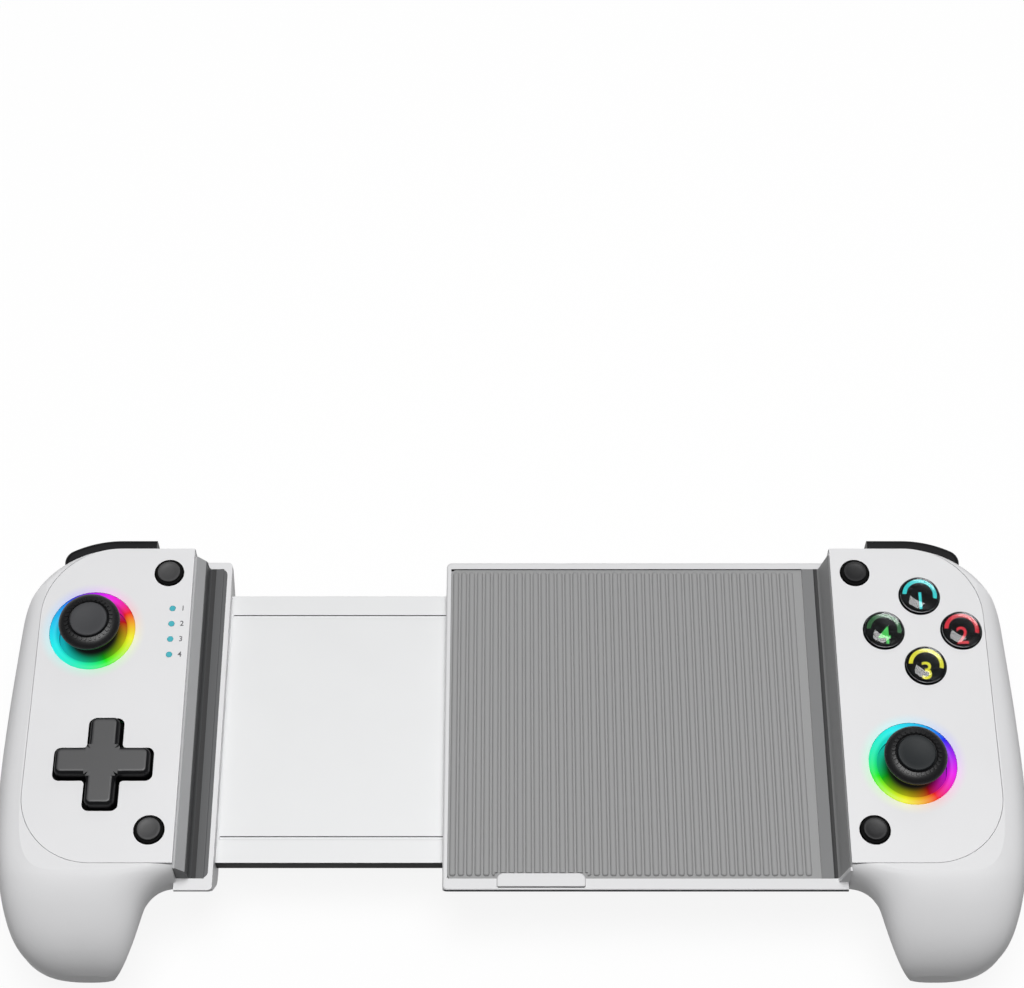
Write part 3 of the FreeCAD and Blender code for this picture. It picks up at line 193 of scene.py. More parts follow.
# %% Group: moulded surface
def moulded_group():
    """Grain height and cloudy patches."""
    tree, given, result = new_group(
        "moulded surface",
        {"Grain": 2500.0, "Patch": 60.0},
        {"Height": "NodeSocketFloat", "Cloud": "NodeSocketFloat"})
    where = place(tree, "ShaderNodeTexCoord")
    grain = place(tree, "ShaderNodeTexNoise", inputs={"Detail": 3.0, "Roughness": 0.6})
    patch = place(tree, "ShaderNodeTexNoise", inputs={"Detail": 2.0})
    for noise, label in ((grain, "Grain"), (patch, "Patch")):
        tree.links.new(where.outputs["Object"], noise.inputs["Vector"])
        tree.links.new(given.outputs[label], noise.inputs["Scale"])
    tree.links.new(grain.outputs["Fac"], result.inputs["Height"])
    tree.links.new(patch.outputs["Fac"], result.inputs["Cloud"])
    return tree


MOULDED = moulded_group()
print("group", MOULDED.name)


# %% [markdown]
# One function dresses a material with that group: the patches shift the roughness and the tone a
# little either way, and the grain feeds a bump. Each plastic then differs only in its numbers.

# %% A moulded material
PLASTIC_GRAIN = 2500.0
RUBBER_GRAIN = 3500.0
PATCH_SCALE = 60.0
BUMP_STRENGTH = 0.35


def moulded(name, colour, roughness, grain=PLASTIC_GRAIN, depth=0.02, spread=0.06, fade=0.96,
            **plain):
    """Return a plastic or rubber with grain and cloudy gloss and tone."""
    material, tree, shader = open_material(name, colour, roughness, **plain)
    surface = use_group(tree, MOULDED, Grain=grain, Patch=PATCH_SCALE)
    cloud = surface.outputs["Cloud"]
    tree.links.new(remap(tree, cloud, roughness - spread, roughness + spread),
                   shader.inputs["Roughness"])
    faded = (*[channel * fade for channel in colour], 1)
    tree.links.new(blend(tree, cloud, faded, (*colour, 1)), shader.inputs["Base Color"])
    bump = place(tree, "ShaderNodeBump",
                 inputs={"Strength": BUMP_STRENGTH, "Distance": depth * MM})
    tree.links.new(surface.outputs["Height"], bump.inputs["Height"])
    tree.links.new(bump.outputs["Normal"], shader.inputs["Normal"])
    return material


WHITE_SHELL = moulded("white shell", (0.75, 0.75, 0.76), 0.42, depth=0.015)
TRAY_WHITE = moulded("tray white", (0.7, 0.7, 0.71), 0.42, depth=0.015)
SLIDE_WHITE = moulded("slide plate white", (0.78, 0.785, 0.79), 0.38, depth=0.01)
# The keys' own black, also painted on the direction pad's sides as painted shade.
KEY_BLACK_AND_SHADE = moulded("key black", (0.006, 0.006, 0.007), 0.45, Specular_IOR_Level=0.2)
SMALL_KEY = {"left": moulded("small key grey", (0.055, 0.055, 0.056), 0.42,
                             Specular_IOR_Level=0.3),
             "right": moulded("small key black", (0.012, 0.012, 0.013), 0.42,
                              Specular_IOR_Level=0.3)}
# Near-black painted shade for the walls of the gaps, the rims of the small keys and the rocker
# under the direction pad.
GAP_PAINTED_SHADE = moulded("gap painted shade", (0.004, 0.004, 0.004), 0.8, Specular_IOR_Level=0.1)
GROOVE_GREY = moulded("shaded groove", (0.05, 0.05, 0.051), 0.7, Specular_IOR_Level=0.2)
PAD_GREY = moulded("ribbed rubber", (0.31, 0.311, 0.313), 0.62, grain=RUBBER_GRAIN, depth=0.03)
BAY_GREY = moulded("bay rubber", (0.19, 0.192, 0.195), 0.6, grain=RUBBER_GRAIN, depth=0.03)
# Lighter copies of the bay rubbers: painted light on the right bay's wall and on the left lip.
WALL_PAINTED_LIGHT = moulded("bay wall painted light", (0.35, 0.352, 0.355), 0.55, grain=RUBBER_GRAIN, depth=0.03)
LIP_PAINTED_LIGHT = moulded("lip rubber painted light", (0.42, 0.423, 0.43), 0.5, grain=RUBBER_GRAIN, depth=0.03)
CHEEK_GREY = moulded("cheek rubber", (0.095, 0.097, 0.1), 0.52, grain=RUBBER_GRAIN, depth=0.03)
DPAD_GREY = moulded("direction pad grey", (0.062, 0.062, 0.064), 0.4)
CAP_RUBBER = moulded("stick rubber", (0.009, 0.009, 0.01), 0.4, grain=4000.0,
                     Specular_IOR_Level=0.4)
DISC_RUBBER = {"left": moulded("stick disc grey", (0.048, 0.049, 0.053), 0.55, grain=4000.0,
                               Specular_IOR_Level=0.3),
               "right": moulded("stick disc black", (0.012, 0.015, 0.017), 0.5, grain=4000.0,
                                Specular_IOR_Level=0.25)}
INNER_BLACK = moulded("inner plastic", (0.05, 0.05, 0.055), 0.5)
MEMBRANE = moulded("silicone sheet", (0.45, 0.45, 0.46), 0.6)
BOARD_GREEN = moulded("circuit board", (0.015, 0.12, 0.05), 0.4)
CELL_WRAP = moulded("battery wrap", (0.12, 0.16, 0.28), 0.35)
FELT = moulded("brake felt", (0.04, 0.04, 0.045), 0.95, grain=6000.0, depth=0.2)
STEEL = moulded("bright steel", (0.6, 0.6, 0.61), 0.28, spread=0.08, Metallic=1.0)
print("plastics", len(bpy.data.materials))


# %% [markdown]
# The rings round the sticks are lit in every colour. The hue runs once round the circle, so the
# angle about the ring's centre gives it: arctangent, then a turn of the colour wheel. The colours
# are not spread evenly, so a cosine of the angle swings the hue a little. The same group also
# gives the distance from the centre, which fades the glow out over the plate.

# %% Group: ring light
RING_SATURATION = 0.985


def ring_group():
    """Hue by the angle about a centre, and the distance from that centre in millimetres."""
    tree, given, result = new_group(
        "ring light", {"Centre X": 0.0, "Centre Y": 0.0, "Hue": 0.0, "Swing": 0.0, "Phase": 0.0},
        {"Color": "NodeSocketColor", "Distance": "NodeSocketFloat"})
    where = place(tree, "ShaderNodeTexCoord")
    split = place(tree, "ShaderNodeSeparateXYZ")
    tree.links.new(where.outputs["Object"], split.inputs["Vector"])
    along, across = (compute(tree, "SUBTRACT", split.outputs[axis],
                             given.outputs["Centre " + axis]) for axis in "XY")
    angle = compute(tree, "ARCTAN2", across, along)
    turn = compute(tree, "MULTIPLY", angle, -1 / (2 * math.pi))
    shifted = compute(tree, "ADD", turn, given.outputs["Hue"])
    wave = compute(tree, "COSINE", compute(tree, "ADD", angle, given.outputs["Phase"]))
    swung = compute(tree, "MULTIPLY_ADD", wave, given.outputs["Swing"], shifted)
    wheel = place(tree, "ShaderNodeCombineColor", mode="HSV",
                  inputs={"Green": RING_SATURATION, "Blue": 1.0})
    tree.links.new(compute(tree, "FRACT", swung), wheel.inputs["Red"])
    flat = place(tree, "ShaderNodeCombineXYZ")
    tree.links.new(along, flat.inputs["X"])
    tree.links.new(across, flat.inputs["Y"])
    length = place(tree, "ShaderNodeVectorMath", operation="LENGTH")
    tree.links.new(flat.outputs[0], length.inputs[0])
    tree.links.new(wheel.outputs["Color"], result.inputs["Color"])
    tree.links.new(compute(tree, "MULTIPLY", length.outputs["Value"], 1 / MM),
                   result.inputs["Distance"])
    return tree


RING_LIGHT = ring_group()
RING_HUE = {"left": 28 / 360, "right": 299 / 360}
RING_SWING = {"left": 28 / 360, "right": 22 / 360}
RING_PHASE = {"left": math.radians(60), "right": math.radians(150)}


def ring_light(tree, side):
    """Place the ring light group, centred on one side's ring."""
    centre = centre_of(side + "_light_ring")
    return use_group(tree, RING_LIGHT, Centre_X=centre.x, Centre_Y=centre.y, Hue=RING_HUE[side],
                     Swing=RING_SWING[side], Phase=RING_PHASE[side])


print("group", RING_LIGHT.name)


# %% [markdown]
# Three materials listen to that light: the ring itself glows, the dome under the stick glows with
# a painted reflection of it, and the white plate gets the ring's light painted into its colour,
# which fades back to white. Each one starts and ends at its own two distances from the centre, in
# millimetres.

# %% Materials of the lit ring, the dome and the faceplate
UNLIT = (0, 0, 0, 1)
GLOW_GRAIN = 1500.0
RING_RISE = (7.8, 9.2)
DOME_REFLECTION_RISE = (5.4, 8.0)
PLATE_SPILL_FADE = (9.8, 13.0)


def ring_material(side):
    """Return the translucent ring, lit from within."""
    material, tree, shader = open_material(side + " ring light", (0.004, 0.004, 0.004), 0.4,
                                           Emission_Strength=0.85, Specular_IOR_Level=0.2)
    light = ring_light(tree, side)
    surface = use_group(tree, MOULDED, Grain=GLOW_GRAIN, Patch=300.0)
    tree.links.new(remap(tree, surface.outputs["Cloud"], 0.3, 0.42), shader.inputs["Roughness"])
    near = remap(tree, light.outputs["Distance"], 0.55, 1.0, "SMOOTHSTEP", *RING_RISE)
    tree.links.new(blend(tree, near, UNLIT, light.outputs["Color"]),
                   shader.inputs["Emission Color"])
    return material


def dome_with_painted_reflection(side):
    """Return the black dome, with a painted reflection of the ring's colours glowing on its lower
    edge.
    """
    material, tree, shader = open_material(side + " dome", (0.006, 0.006, 0.007), 0.22,
                                           Coat_Weight=0.3, Emission_Strength=0.6)
    light = ring_light(tree, side)
    near = remap(tree, light.outputs["Distance"], 0.0, 0.75, "SMOOTHSTEP", *DOME_REFLECTION_RISE)
    tree.links.new(blend(tree, near, UNLIT, light.outputs["Color"]),
                   shader.inputs["Emission Color"])
    return material


def faceplate_with_painted_spill(side):
    """Return the satin white plate, with the ring's light painted into its colour round the ring.
    """
    material = moulded(side + " faceplate white", (0.765, 0.765, 0.775), 0.4, depth=0.012)
    tree = material.node_tree
    shader = tree.nodes["Principled BSDF"]
    tone = shader.inputs["Base Color"].links[0].from_socket
    light = ring_light(tree, side)
    near = remap(tree, light.outputs["Distance"], 0.75, 0.0, "SMOOTHSTEP", *PLATE_SPILL_FADE)
    tree.links.new(blend(tree, near, tone, light.outputs["Color"], "SOFT_LIGHT"),
                   shader.inputs["Base Color"])
    return material


RING_LIT = {side: ring_material(side) for side in SIDES}
DOME = {side: dome_with_painted_reflection(side) for side in SIDES}
FACE_WHITE = {side: faceplate_with_painted_spill(side) for side in SIDES}
print("lit materials", len(RING_LIT) + len(DOME) + len(FACE_WHITE))


# %% [markdown]
# The lamps are cyan light pipes, and the action buttons are clear domes over a dark core with
# coloured marks. Clear plastic is all but smooth, and its life comes from what lies under it.

# %% Lamps, clear domes and coloured marks
MARK_FADE = 0.85


def glowing(name, colour, strength):
    """Return a light pipe that glows, or a coloured mark whose glow is painted light, a little
    unevenly.
    """
    material, tree, shader = open_material(name, colour, 0.35, Emission_Strength=strength)
    surface = use_group(tree, MOULDED, Grain=GLOW_GRAIN, Patch=400.0)
    dimmed = (*[channel * MARK_FADE for channel in colour], 1)
    tone = blend(tree, surface.outputs["Cloud"], dimmed, (*colour, 1))
    tree.links.new(tone, shader.inputs["Base Color"])
    tree.links.new(tone, shader.inputs["Emission Color"])
    return material


LAMP_CYAN = glowing("lamp cyan", (0.04, 0.4, 0.47), 0.15)
# The coloured marks and the dark green arc glow as painted light; no lamp lies under them.
MARKS = {
    "top": glowing("mark cyan", (0.04, 0.75, 0.75), 0.4),
    "right": glowing("mark red", (0.75, 0.02, 0.04), 0.4),
    "bottom": glowing("mark yellow", (0.9, 0.85, 0.03), 0.4),
    "left": glowing("mark green", (0.08, 0.7, 0.12), 0.4),
}
LEFT_ARC = glowing("mark dark green", (0.04, 0.2, 0.06), 0.2)
INK = moulded("lamp numeral ink", (0.12, 0.12, 0.13), 0.6)
CLEAR = moulded("clear dome", (0.86, 0.87, 0.88), 0.06, depth=0.002, spread=0.02,
                Transmission_Weight=1.0, IOR=1.47)
CORE_DARK = moulded("button core", (0.006, 0.007, 0.009), 0.25, Specular_IOR_Level=0.25)
print("marks", list(MARKS))


# %% [markdown]
# Every node gets a finish at once, by the record's material slots. Nodes that stay hidden inside
# the housing keep it, and the visible ones are refined further down.

# %% Give each slot its finish
SLOT_FINISH = {
    "shell_white": WHITE_SHELL, "slide_plate": SLIDE_WHITE, "cheek_rubber": CHEEK_GREY,
    "pad_rubber": PAD_GREY, "shoulder_key": KEY_BLACK_AND_SHADE, "small_button": KEY_BLACK_AND_SHADE,
    "action_button": CORE_DARK, "direction_pad": DPAD_GREY, "stick_rubber": CAP_RUBBER,
    "player_lamp": LAMP_CYAN, "gimbal_plastic": INNER_BLACK, "board": BOARD_GREEN,
    "membrane_rubber": MEMBRANE, "steel": STEEL, "battery_wrap": CELL_WRAP, "brake_felt": FELT,
}
LIT_FINISH = {"faceplate_white": FACE_WHITE, "light_ring": RING_LIT, "stick_plastic": DOME}
SLOT_OF = {part["node"]: part["material_slot"] for part in frame["record"]["subparts"]}
for name, node in frame["nodes"].items():
    side = name.split("_")[0]
    slot = SLOT_OF[name]
    finish = LIT_FINISH[slot][side] if slot in LIT_FINISH else SLOT_FINISH[slot]
    if name in ("tray_front", "tray_back"):
        finish = TRAY_WHITE
    node.data.materials.clear()
    node.data.materials.append(finish)
print("finished nodes", len(frame["nodes"]))

# %% [markdown]
# From here on each piece is modelled as by hand: a primitive at its size and place, shaped in
# edit mode, and finished by modifiers that are applied. The helpers select what an operator
# acts on by its place, because an operator changes all that is selected.

# %% Helpers for edit mode
SMOOTH_ANGLE = math.radians(32)
FLAT_ANGLE = math.radians(0.5)
NEAR = 0.01 * MM


def make_active(piece):
    """Select one piece alone and make it active."""
    bpy.ops.object.select_all(action="DESELECT")
    piece.select_set(True)
    bpy.context.view_layer.objects.active = piece


def begin_edit(piece):
    """Open one piece in edit mode with nothing selected."""
    make_active(piece)
    bpy.ops.object.mode_set(mode="EDIT")
    bpy.ops.mesh.select_all(action="DESELECT")


def end_edit():
    """Leave edit mode with outward normals."""
    bpy.ops.mesh.select_all(action="SELECT")
    bpy.ops.mesh.normals_make_consistent(inside=False)
    bpy.ops.object.mode_set(mode="OBJECT")


def pick(kind, test):
    """Select the vertices, edges or faces of the open piece that pass a test."""
    bpy.ops.mesh.select_mode(type=kind)
    mesh = bmesh.from_edit_mesh(bpy.context.edit_object.data)
    elements = {"VERT": mesh.verts, "EDGE": mesh.edges, "FACE": mesh.faces}[kind]
    for element in elements:
        element.select_set(test(element))
    bmesh.update_edit_mesh(bpy.context.edit_object.data)


def middle(element):
    """Return the middle of an edge or face."""
    return sum((vertex.co for vertex in element.verts), Vector()) / len(element.verts)


def use_modifier(piece, kind, **settings):
    """Add a modifier, set it and apply it."""
    make_active(piece)
    modifier = piece.modifiers.new(kind.lower(), kind)
    for name, value in settings.items():
        setattr(modifier, name, value)
    bpy.ops.object.modifier_apply(modifier=modifier.name)


def soften(piece, width, segments=3, angle=35):
    """Round a piece's sharp edges by a width in millimetres."""
    use_modifier(piece, "BEVEL", width=width * MM, segments=segments, limit_method="ANGLE",
                 angle_limit=math.radians(angle), harden_normals=False)


def settle(piece, name, body, slot, finish, *nodes):
    """Name a finished piece, smooth it, give its finish and let it ride on its body."""
    make_active(piece)
    bpy.ops.object.transform_apply(location=True, rotation=True, scale=True)
    bpy.ops.object.shade_smooth_by_angle(angle=SMOOTH_ANGLE)
    use_modifier(piece, "WEIGHTED_NORMAL", keep_sharp=True)
    piece.name = name
    if piece.data.materials:
        piece.data.materials[0] = finish
    else:
        piece.data.materials.append(finish)
    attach(piece, body)
    if nodes:
        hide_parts(*nodes)
    print(name, len(piece.data.polygons), "faces")
    return piece


def paint_faces(piece, finish, test):
    """Give the faces that pass a test a second finish."""
    piece.data.materials.append(finish)
    for face in piece.data.polygons:
        if test(face):
            face.material_index = len(piece.data.materials) - 1


def cut_away(piece, *cutters):
    """Cut pieces out of another one and delete them."""
    for cutter in cutters:
        use_modifier(piece, "BOOLEAN", operation="DIFFERENCE", object=cutter, solver="EXACT",
                     material_mode="TRANSFER")
        bpy.data.objects.remove(cutter)


# %% [markdown]
# Sticks, buttons and rings are all turned shapes. A circle is added at the first station, and
# each further station extrudes it, scales it about the axis and lifts it. A station of no radius
# closes the form at a pole, and a list that comes back to its first station makes a ring.

# %% Turned pieces
TURNS = 96
TURN_WELD = 0.002 * MM


def turned(centre, stations, steps=TURNS):
    """Return a turned solid through stations of (radius, height) in millimetres."""
    x, y = centre.x, centre.y
    radius, height = stations[0]
    bpy.ops.mesh.primitive_circle_add(vertices=steps, radius=radius * MM, fill_type="NOTHING",
                                      location=(x, y, FACE_Z + height * MM))
    piece = bpy.context.object
    bpy.ops.object.transform_apply(location=True)
    bpy.ops.object.mode_set(mode="EDIT")
    bpy.ops.mesh.select_mode(type="VERT")
    bpy.ops.mesh.select_all(action="SELECT")
    for next_radius, next_height in stations[1:]:
        bpy.ops.mesh.extrude_region_move(
            TRANSFORM_OT_translate={"value": (0, 0, (next_height - height) * MM)})
        if next_radius == 0:
            bpy.ops.mesh.merge(type="CENTER")
            break
        ratio = next_radius / radius
        bpy.ops.transform.resize(value=(ratio, ratio, 1),
                                 center_override=(x, y, FACE_Z + next_height * MM))
        radius, height = next_radius, next_height
    bpy.ops.mesh.select_all(action="SELECT")
    bpy.ops.mesh.remove_doubles(threshold=TURN_WELD)
    if stations[0] != stations[-1]:
        pick("EDGE", lambda edge: edge.is_boundary)
        bpy.ops.mesh.edge_face_add()
    end_edit()
    return piece


# %% [markdown]
# The light ring is a translucent moulding with a flange under the plate and a soft crown. The
# dome under the stick is part of a ball about the tilt centre, with the neck that carries the
# cap. The cap has a flat grippy disc, a groove round it and a knurled, sloping shoulder.

# %% Light rings, domes and caps
RING = [(8.3, -2.8), (11.6, -2.8), (11.6, -1.9), (10.2, -1.9), (10.2, -0.1), (10.1, 0.06),
        (9.7, 0.17), (9.25, 0.2), (8.8, 0.17), (8.45, 0.05), (8.3, -0.4), (8.3, -2.8)]
BALL_RADIUS = 9.8
BALL_DEPTH = -9.0
BALL_DEGREES = range(58, 20, -4)
DOME_FOOT = [(3.2, -3.85), (8.0, -3.85)]
DOME_NECK = [(3.7, 0.35), (3.6, 0.8), (3.6, 3.3)]
CAP = [(3.5, 3.65), (6.2, 3.65), (6.8, 3.8), (7.2, 4.2), (7.3, 4.7), (7.15, 5.1), (6.7, 5.55),
       (6.2, 5.85), (5.75, 6.05), (4.95, 6.2), (4.82, 6.1), (4.72, 5.7), (4.6, 5.65), (4.48, 5.85),
       (4.4, 6.25), (4.22, 6.42), (3.9, 6.45), (3.1, 6.36), (1.6, 6.25), (0, 6.2)]
CAP_STEPS = 60
KNURL_BAND = (4.95, 5.75)
KNURL_INSET, KNURL_RISE = 0.05, 0.24
CAP_UPPER = 5.9
DISC_RADIUS = 4.4


def dome_stations():
    """Return the dome from its lower edge to the neck, and the neck up into the cap."""
    ball = [(BALL_RADIUS * math.sin(angle), BALL_DEPTH + BALL_RADIUS * math.cos(angle))
            for angle in map(math.radians, BALL_DEGREES)]
    return DOME_FOOT + ball + DOME_NECK


def knurl(cap, centre):
    """Raise every second face of the band round the disc."""
    def chosen(face):
        away = middle(face).xy - centre.xy
        number = int((math.atan2(away.y, away.x) + math.pi) / (2 * math.pi / CAP_STEPS))
        return (number % 2 == 0 and middle(face).z > FACE_Z + CAP_UPPER * MM
                and KNURL_BAND[0] * MM < away.length < KNURL_BAND[1] * MM)

    begin_edit(cap)
    pick("FACE", chosen)
    bpy.ops.mesh.inset(thickness=KNURL_INSET * MM, depth=KNURL_RISE * MM, use_individual=True)
    end_edit()


for side in SIDES:
    centre = centre_of(side + "_light_ring")
    ring = turned(centre, RING)
    settle(ring, side + "_lit_ring", side + "_unit", "light_ring", RING_LIT[side],
           side + "_light_ring")
    dome = turned(centre, dome_stations())
    settle(dome, side + "_stick_dome", side + "_stick", "stick_plastic", DOME[side],
           side + "_stick_shaft")
    cap = turned(centre, CAP, steps=CAP_STEPS)
    knurl(cap, centre)
    settle(cap, side + "_thumb_cap", side + "_stick", "stick_rubber", CAP_RUBBER,
           side + "_stick_cap")
    paint_faces(cap, DISC_RUBBER[side],
                lambda face: (face.center.xy - centre.xy).length < DISC_RADIUS * MM
                and face.center.z > FACE_Z + CAP_UPPER * MM)

# %% [markdown]
# The small keys are flat discs that stand on a lower rim, painted black as painted shade, in a
# slightly wider hole. Under the plate each has a flange, which keeps it in, and a foot that
# reaches the rubber dome.

# %% Small keys
KEY_TOP = [(3.7, -3.0), (3.7, -2.0), (3.3, -2.0), (3.3, 0.15), (3.15, 0.3), (2.75, 0.3),
           (2.7, 0.7), (2.55, 0.86), (2.3, 0.88), (1.9, 0.8), (1.0, 0.74), (0, 0.72)]
KEY_DISC = 2.72
KEY_RIM_TOP = 0.35
KEY_FOOT, BUTTON_FOOT = 1.6, 2.0
SMALL_KEYS = {"select_button": "left", "turbo_button": "left",
              "start_button": "right", "home_button": "right"}


def on_foot(node, foot_radius, stations):
    """Put a foot as deep as the node's own under a turned key's stations."""
    depth = (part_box(node)[0].z - FACE_Z) / MM
    return [(foot_radius, depth), (foot_radius, stations[0][1])] + stations


for node, side in SMALL_KEYS.items():
    centre = centre_of(node)
    key = turned(centre, on_foot(node, KEY_FOOT, KEY_TOP))
    # Below its top disc the key wears the gaps' painted shade.
    settle(key, node.replace("button", "key"), node, "small_button", GAP_PAINTED_SHADE, node)
    paint_faces(key, SMALL_KEY[side], lambda face: face.center.z > FACE_Z + KEY_RIM_TOP * MM
                and (face.center.xy - centre.xy).length < KEY_DISC * MM)

# %% [markdown]
# An action button is a clear dome over a dark core. On the core lie a coloured crescent along
# its upper edge and a numeral below it, so the marks seem to float inside, as in the real ones.
# The crescent is a turned band, of which only the upper stretch is kept.

# %% Action buttons
CORE = [(5.5, -3.0), (5.5, -2.0), (4.65, -2.0), (4.65, 0.35), (4.5, 0.5), (3.0, 0.5), (0, 0.5)]
LENS = [(4.1, 0.62), (4.66, 0.62), (4.7, 0.75), (4.68, 0.95), (4.45, 1.22), (3.9, 1.5),
        (3.0, 1.76), (2.0, 1.9), (1.0, 1.97), (0, 1.99)]
BAND = [(3.05, 0.52), (3.95, 0.52), (3.95, 0.6), (3.05, 0.6), (3.05, 0.52)]
BAND_START = math.radians(-85)
BAND_END = math.radians(105)
NUMERAL_DROP = 1.8
ACTION_NUMERAL = {"height": 0.56, "size": 6.0, "weight": 0.03}
LAMP_NUMERAL = {"height": 0.0, "size": 1.9, "weight": 0.02}
NUMERAL_RELIEF = 0.04
NUMERALS = {"top": "1", "right": "2", "bottom": "3", "left": "4"}


def numeral(text, centre, height, size, weight):
    """Return a plain numeral as a thin solid lying face up."""
    bpy.ops.object.text_add(location=(0, 0, 0))
    words = bpy.context.object
    words.data.body = text
    words.data.size = size * MM
    words.data.extrude = NUMERAL_RELIEF * MM
    words.data.offset = weight * MM
    words.data.align_x = "CENTER"
    words.data.align_y = "CENTER"
    bpy.ops.object.convert(target="MESH")
    mark = bpy.context.object
    mark.location = (centre.x, centre.y, FACE_Z + height * MM)
    return mark


def crescent(centre):
    """Return the coloured band on the core's upper edge."""
    band = turned(centre, BAND)
    begin_edit(band)
    pick("FACE", lambda face: not BAND_START < math.atan2(
        middle(face).x - centre.x, middle(face).y - centre.y) < BAND_END)
    bpy.ops.mesh.delete(type="FACE")
    pick("EDGE", lambda edge: edge.is_boundary)
    bpy.ops.mesh.edge_face_add()
    end_edit()
    return band


for place_name, text in NUMERALS.items():
    node = "action_button_" + place_name
    centre = centre_of(node)
    core = turned(centre, on_foot(node, BUTTON_FOOT, CORE))
    settle(core, node + "_core", node, "action_button", CORE_DARK, node)
    lens = turned(centre, LENS)
    settle(lens, node + "_lens", node, "action_button", CLEAR)
    band = crescent(centre)
    settle(band, node + "_band", node, "action_button",
           LEFT_ARC if place_name == "left" else MARKS[place_name])
    mark = numeral(text, centre - Vector((0, NUMERAL_DROP * MM, 0)), **ACTION_NUMERAL)
    settle(mark, node + "_numeral", node, "action_button", MARKS[place_name])

# %% [markdown]
# The direction pad is a plus with rounded corners. A block grows four arms, its upright edges are
# rounded, and then its crown. The same form, a little larger, later cuts the faceplate's opening.
# Under the plate it stands on a round rocker, which also keeps the view into the case shut.
# Below a thin band at the top, the pad's sides are painted black, which is painted shade.

# %% Direction pad
DPAD_SPAN = 22.0
DPAD_ARM = 6.8
DPAD_CORNER = 1.6
DPAD_CROWN = 1.15
DPAD_DEPTH = 3.0
DPAD_TOP_BAND = 0.12
CORE_SHARE = 0.6
DPAD_GAP, DPAD_END_GAP = 0.75, 0.6
ROCKER = [(2.2, -5.1), (2.2, -4.0), (12.2, -4.0), (12.2, -3.0), (0, -3.0)]


def block_form(low, high):
    """Return a block between two corners."""
    centre = (low + high) / 2
    bpy.ops.mesh.primitive_cube_add(size=1, location=centre)
    piece = bpy.context.object
    piece.scale = high - low
    bpy.ops.object.transform_apply(location=True, rotation=False, scale=True)
    return piece


def plus_form(centre, span, arm, corner, low_z, high_z):
    """Return a plus with rounded upright edges, with sizes in millimetres."""
    half = Vector((arm * MM / 2, arm * MM / 2, 0))
    flat = Vector((centre.x, centre.y, 0))
    piece = block_form(flat - half + Vector((0, 0, low_z)), flat + half + Vector((0, 0, high_z)))
    begin_edit(piece)
    reach = (span - arm) / 2 * MM
    core = arm * MM * CORE_SHARE
    for way in (Vector((1, 0, 0)), Vector((-1, 0, 0)), Vector((0, 1, 0)), Vector((0, -1, 0))):
        pick("FACE", lambda face: face.normal.dot(way) > 0.9
             and (middle(face).xy - flat.xy).length < core)
        bpy.ops.mesh.extrude_region_move(TRANSFORM_OT_translate={"value": way * reach})

    def upright(edge):
        return abs(edge.verts[0].co.z - edge.verts[1].co.z) > (high_z - low_z) / 2

    def inside(edge):
        away = middle(edge) - flat
        return max(abs(away.x), abs(away.y)) < core

    pick("EDGE", lambda edge: upright(edge) and inside(edge))
    bpy.ops.mesh.bevel(offset=corner * MM / 2, segments=4, affect="EDGES")
    pick("EDGE", lambda edge: upright(edge) and not inside(edge))
    bpy.ops.mesh.bevel(offset=corner * MM, segments=6, affect="EDGES")
    bpy.ops.mesh.select_all(action="SELECT")
    bpy.ops.mesh.dissolve_limited(angle_limit=FLAT_ANGLE)
    end_edit()
    return piece


dpad_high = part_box("dpad")[1]
DPAD_CENTRE = centre_of("dpad")
cross = plus_form(DPAD_CENTRE, DPAD_SPAN, DPAD_ARM, DPAD_CORNER, FACE_Z - DPAD_DEPTH * MM,
                  dpad_high.z)
begin_edit(cross)
pick("EDGE", lambda edge: edge.calc_face_angle(0) > 1
     and all(vertex.co.z > dpad_high.z - NEAR for vertex in edge.verts))
bpy.ops.mesh.bevel(offset=DPAD_CROWN * MM, segments=4, affect="EDGES")
pick("FACE", lambda face: face.normal.z > 0.9999 and middle(face).z > dpad_high.z - NEAR)
bpy.ops.mesh.dissolve_faces()
end_edit()
settle(cross, "direction_cross", "dpad", "direction_pad", DPAD_GREY, "dpad")
# The rocker wears the gaps' painted shade, so the view into the case stays dark.
settle(turned(DPAD_CENTRE, ROCKER), "direction_rocker", "dpad", "direction_pad", GAP_PAINTED_SHADE)
# Below a thin band at the top, the pad's sides are painted black as painted shade.
paint_faces(cross, KEY_BLACK_AND_SHADE, lambda face: face.center.z < dpad_high.z - DPAD_TOP_BAND * MM)

# %% [markdown]
# Each faceplate is a flat moulding with two large outer corners. It starts as a block, its
# corners are rounded in edit mode, the openings are cut by booleans, and one narrow bevel then
# rounds every rim, which is what catches the light on the real one. The cutters carry a near-black
# finish, which the boolean hands on to the walls they cut: painted shade, so the gaps read as dark
# lines.

# %% Faceplates
PLATE_THICKNESS = 1.8
PLATE_ROUNDS = {1: 18.0, -1: 17.0}
RING_RADIUS = 10.2
SMALL_KEY_RADIUS = 3.3
ACTION_RADIUS = 4.7
KEY_GAP = 0.3
RING_GAP = 0.05
LAMP_HOLE, LAMP_MARGIN, LAMP_COUNT = 0.75, 1.2, 4
PLATE_EDGE = 0.18
CORNERS_BEYOND = 30.0
CORNER_SEGMENTS = 24
CUTTER_STEPS, CUTTER_DEPTH = 64, 8
HOLES = {"left": {"select_button": SMALL_KEY_RADIUS, "turbo_button": SMALL_KEY_RADIUS},
         "right": {"start_button": SMALL_KEY_RADIUS, "home_button": SMALL_KEY_RADIUS}}
for name in NUMERALS:
    HOLES["right"]["action_button_" + name] = ACTION_RADIUS


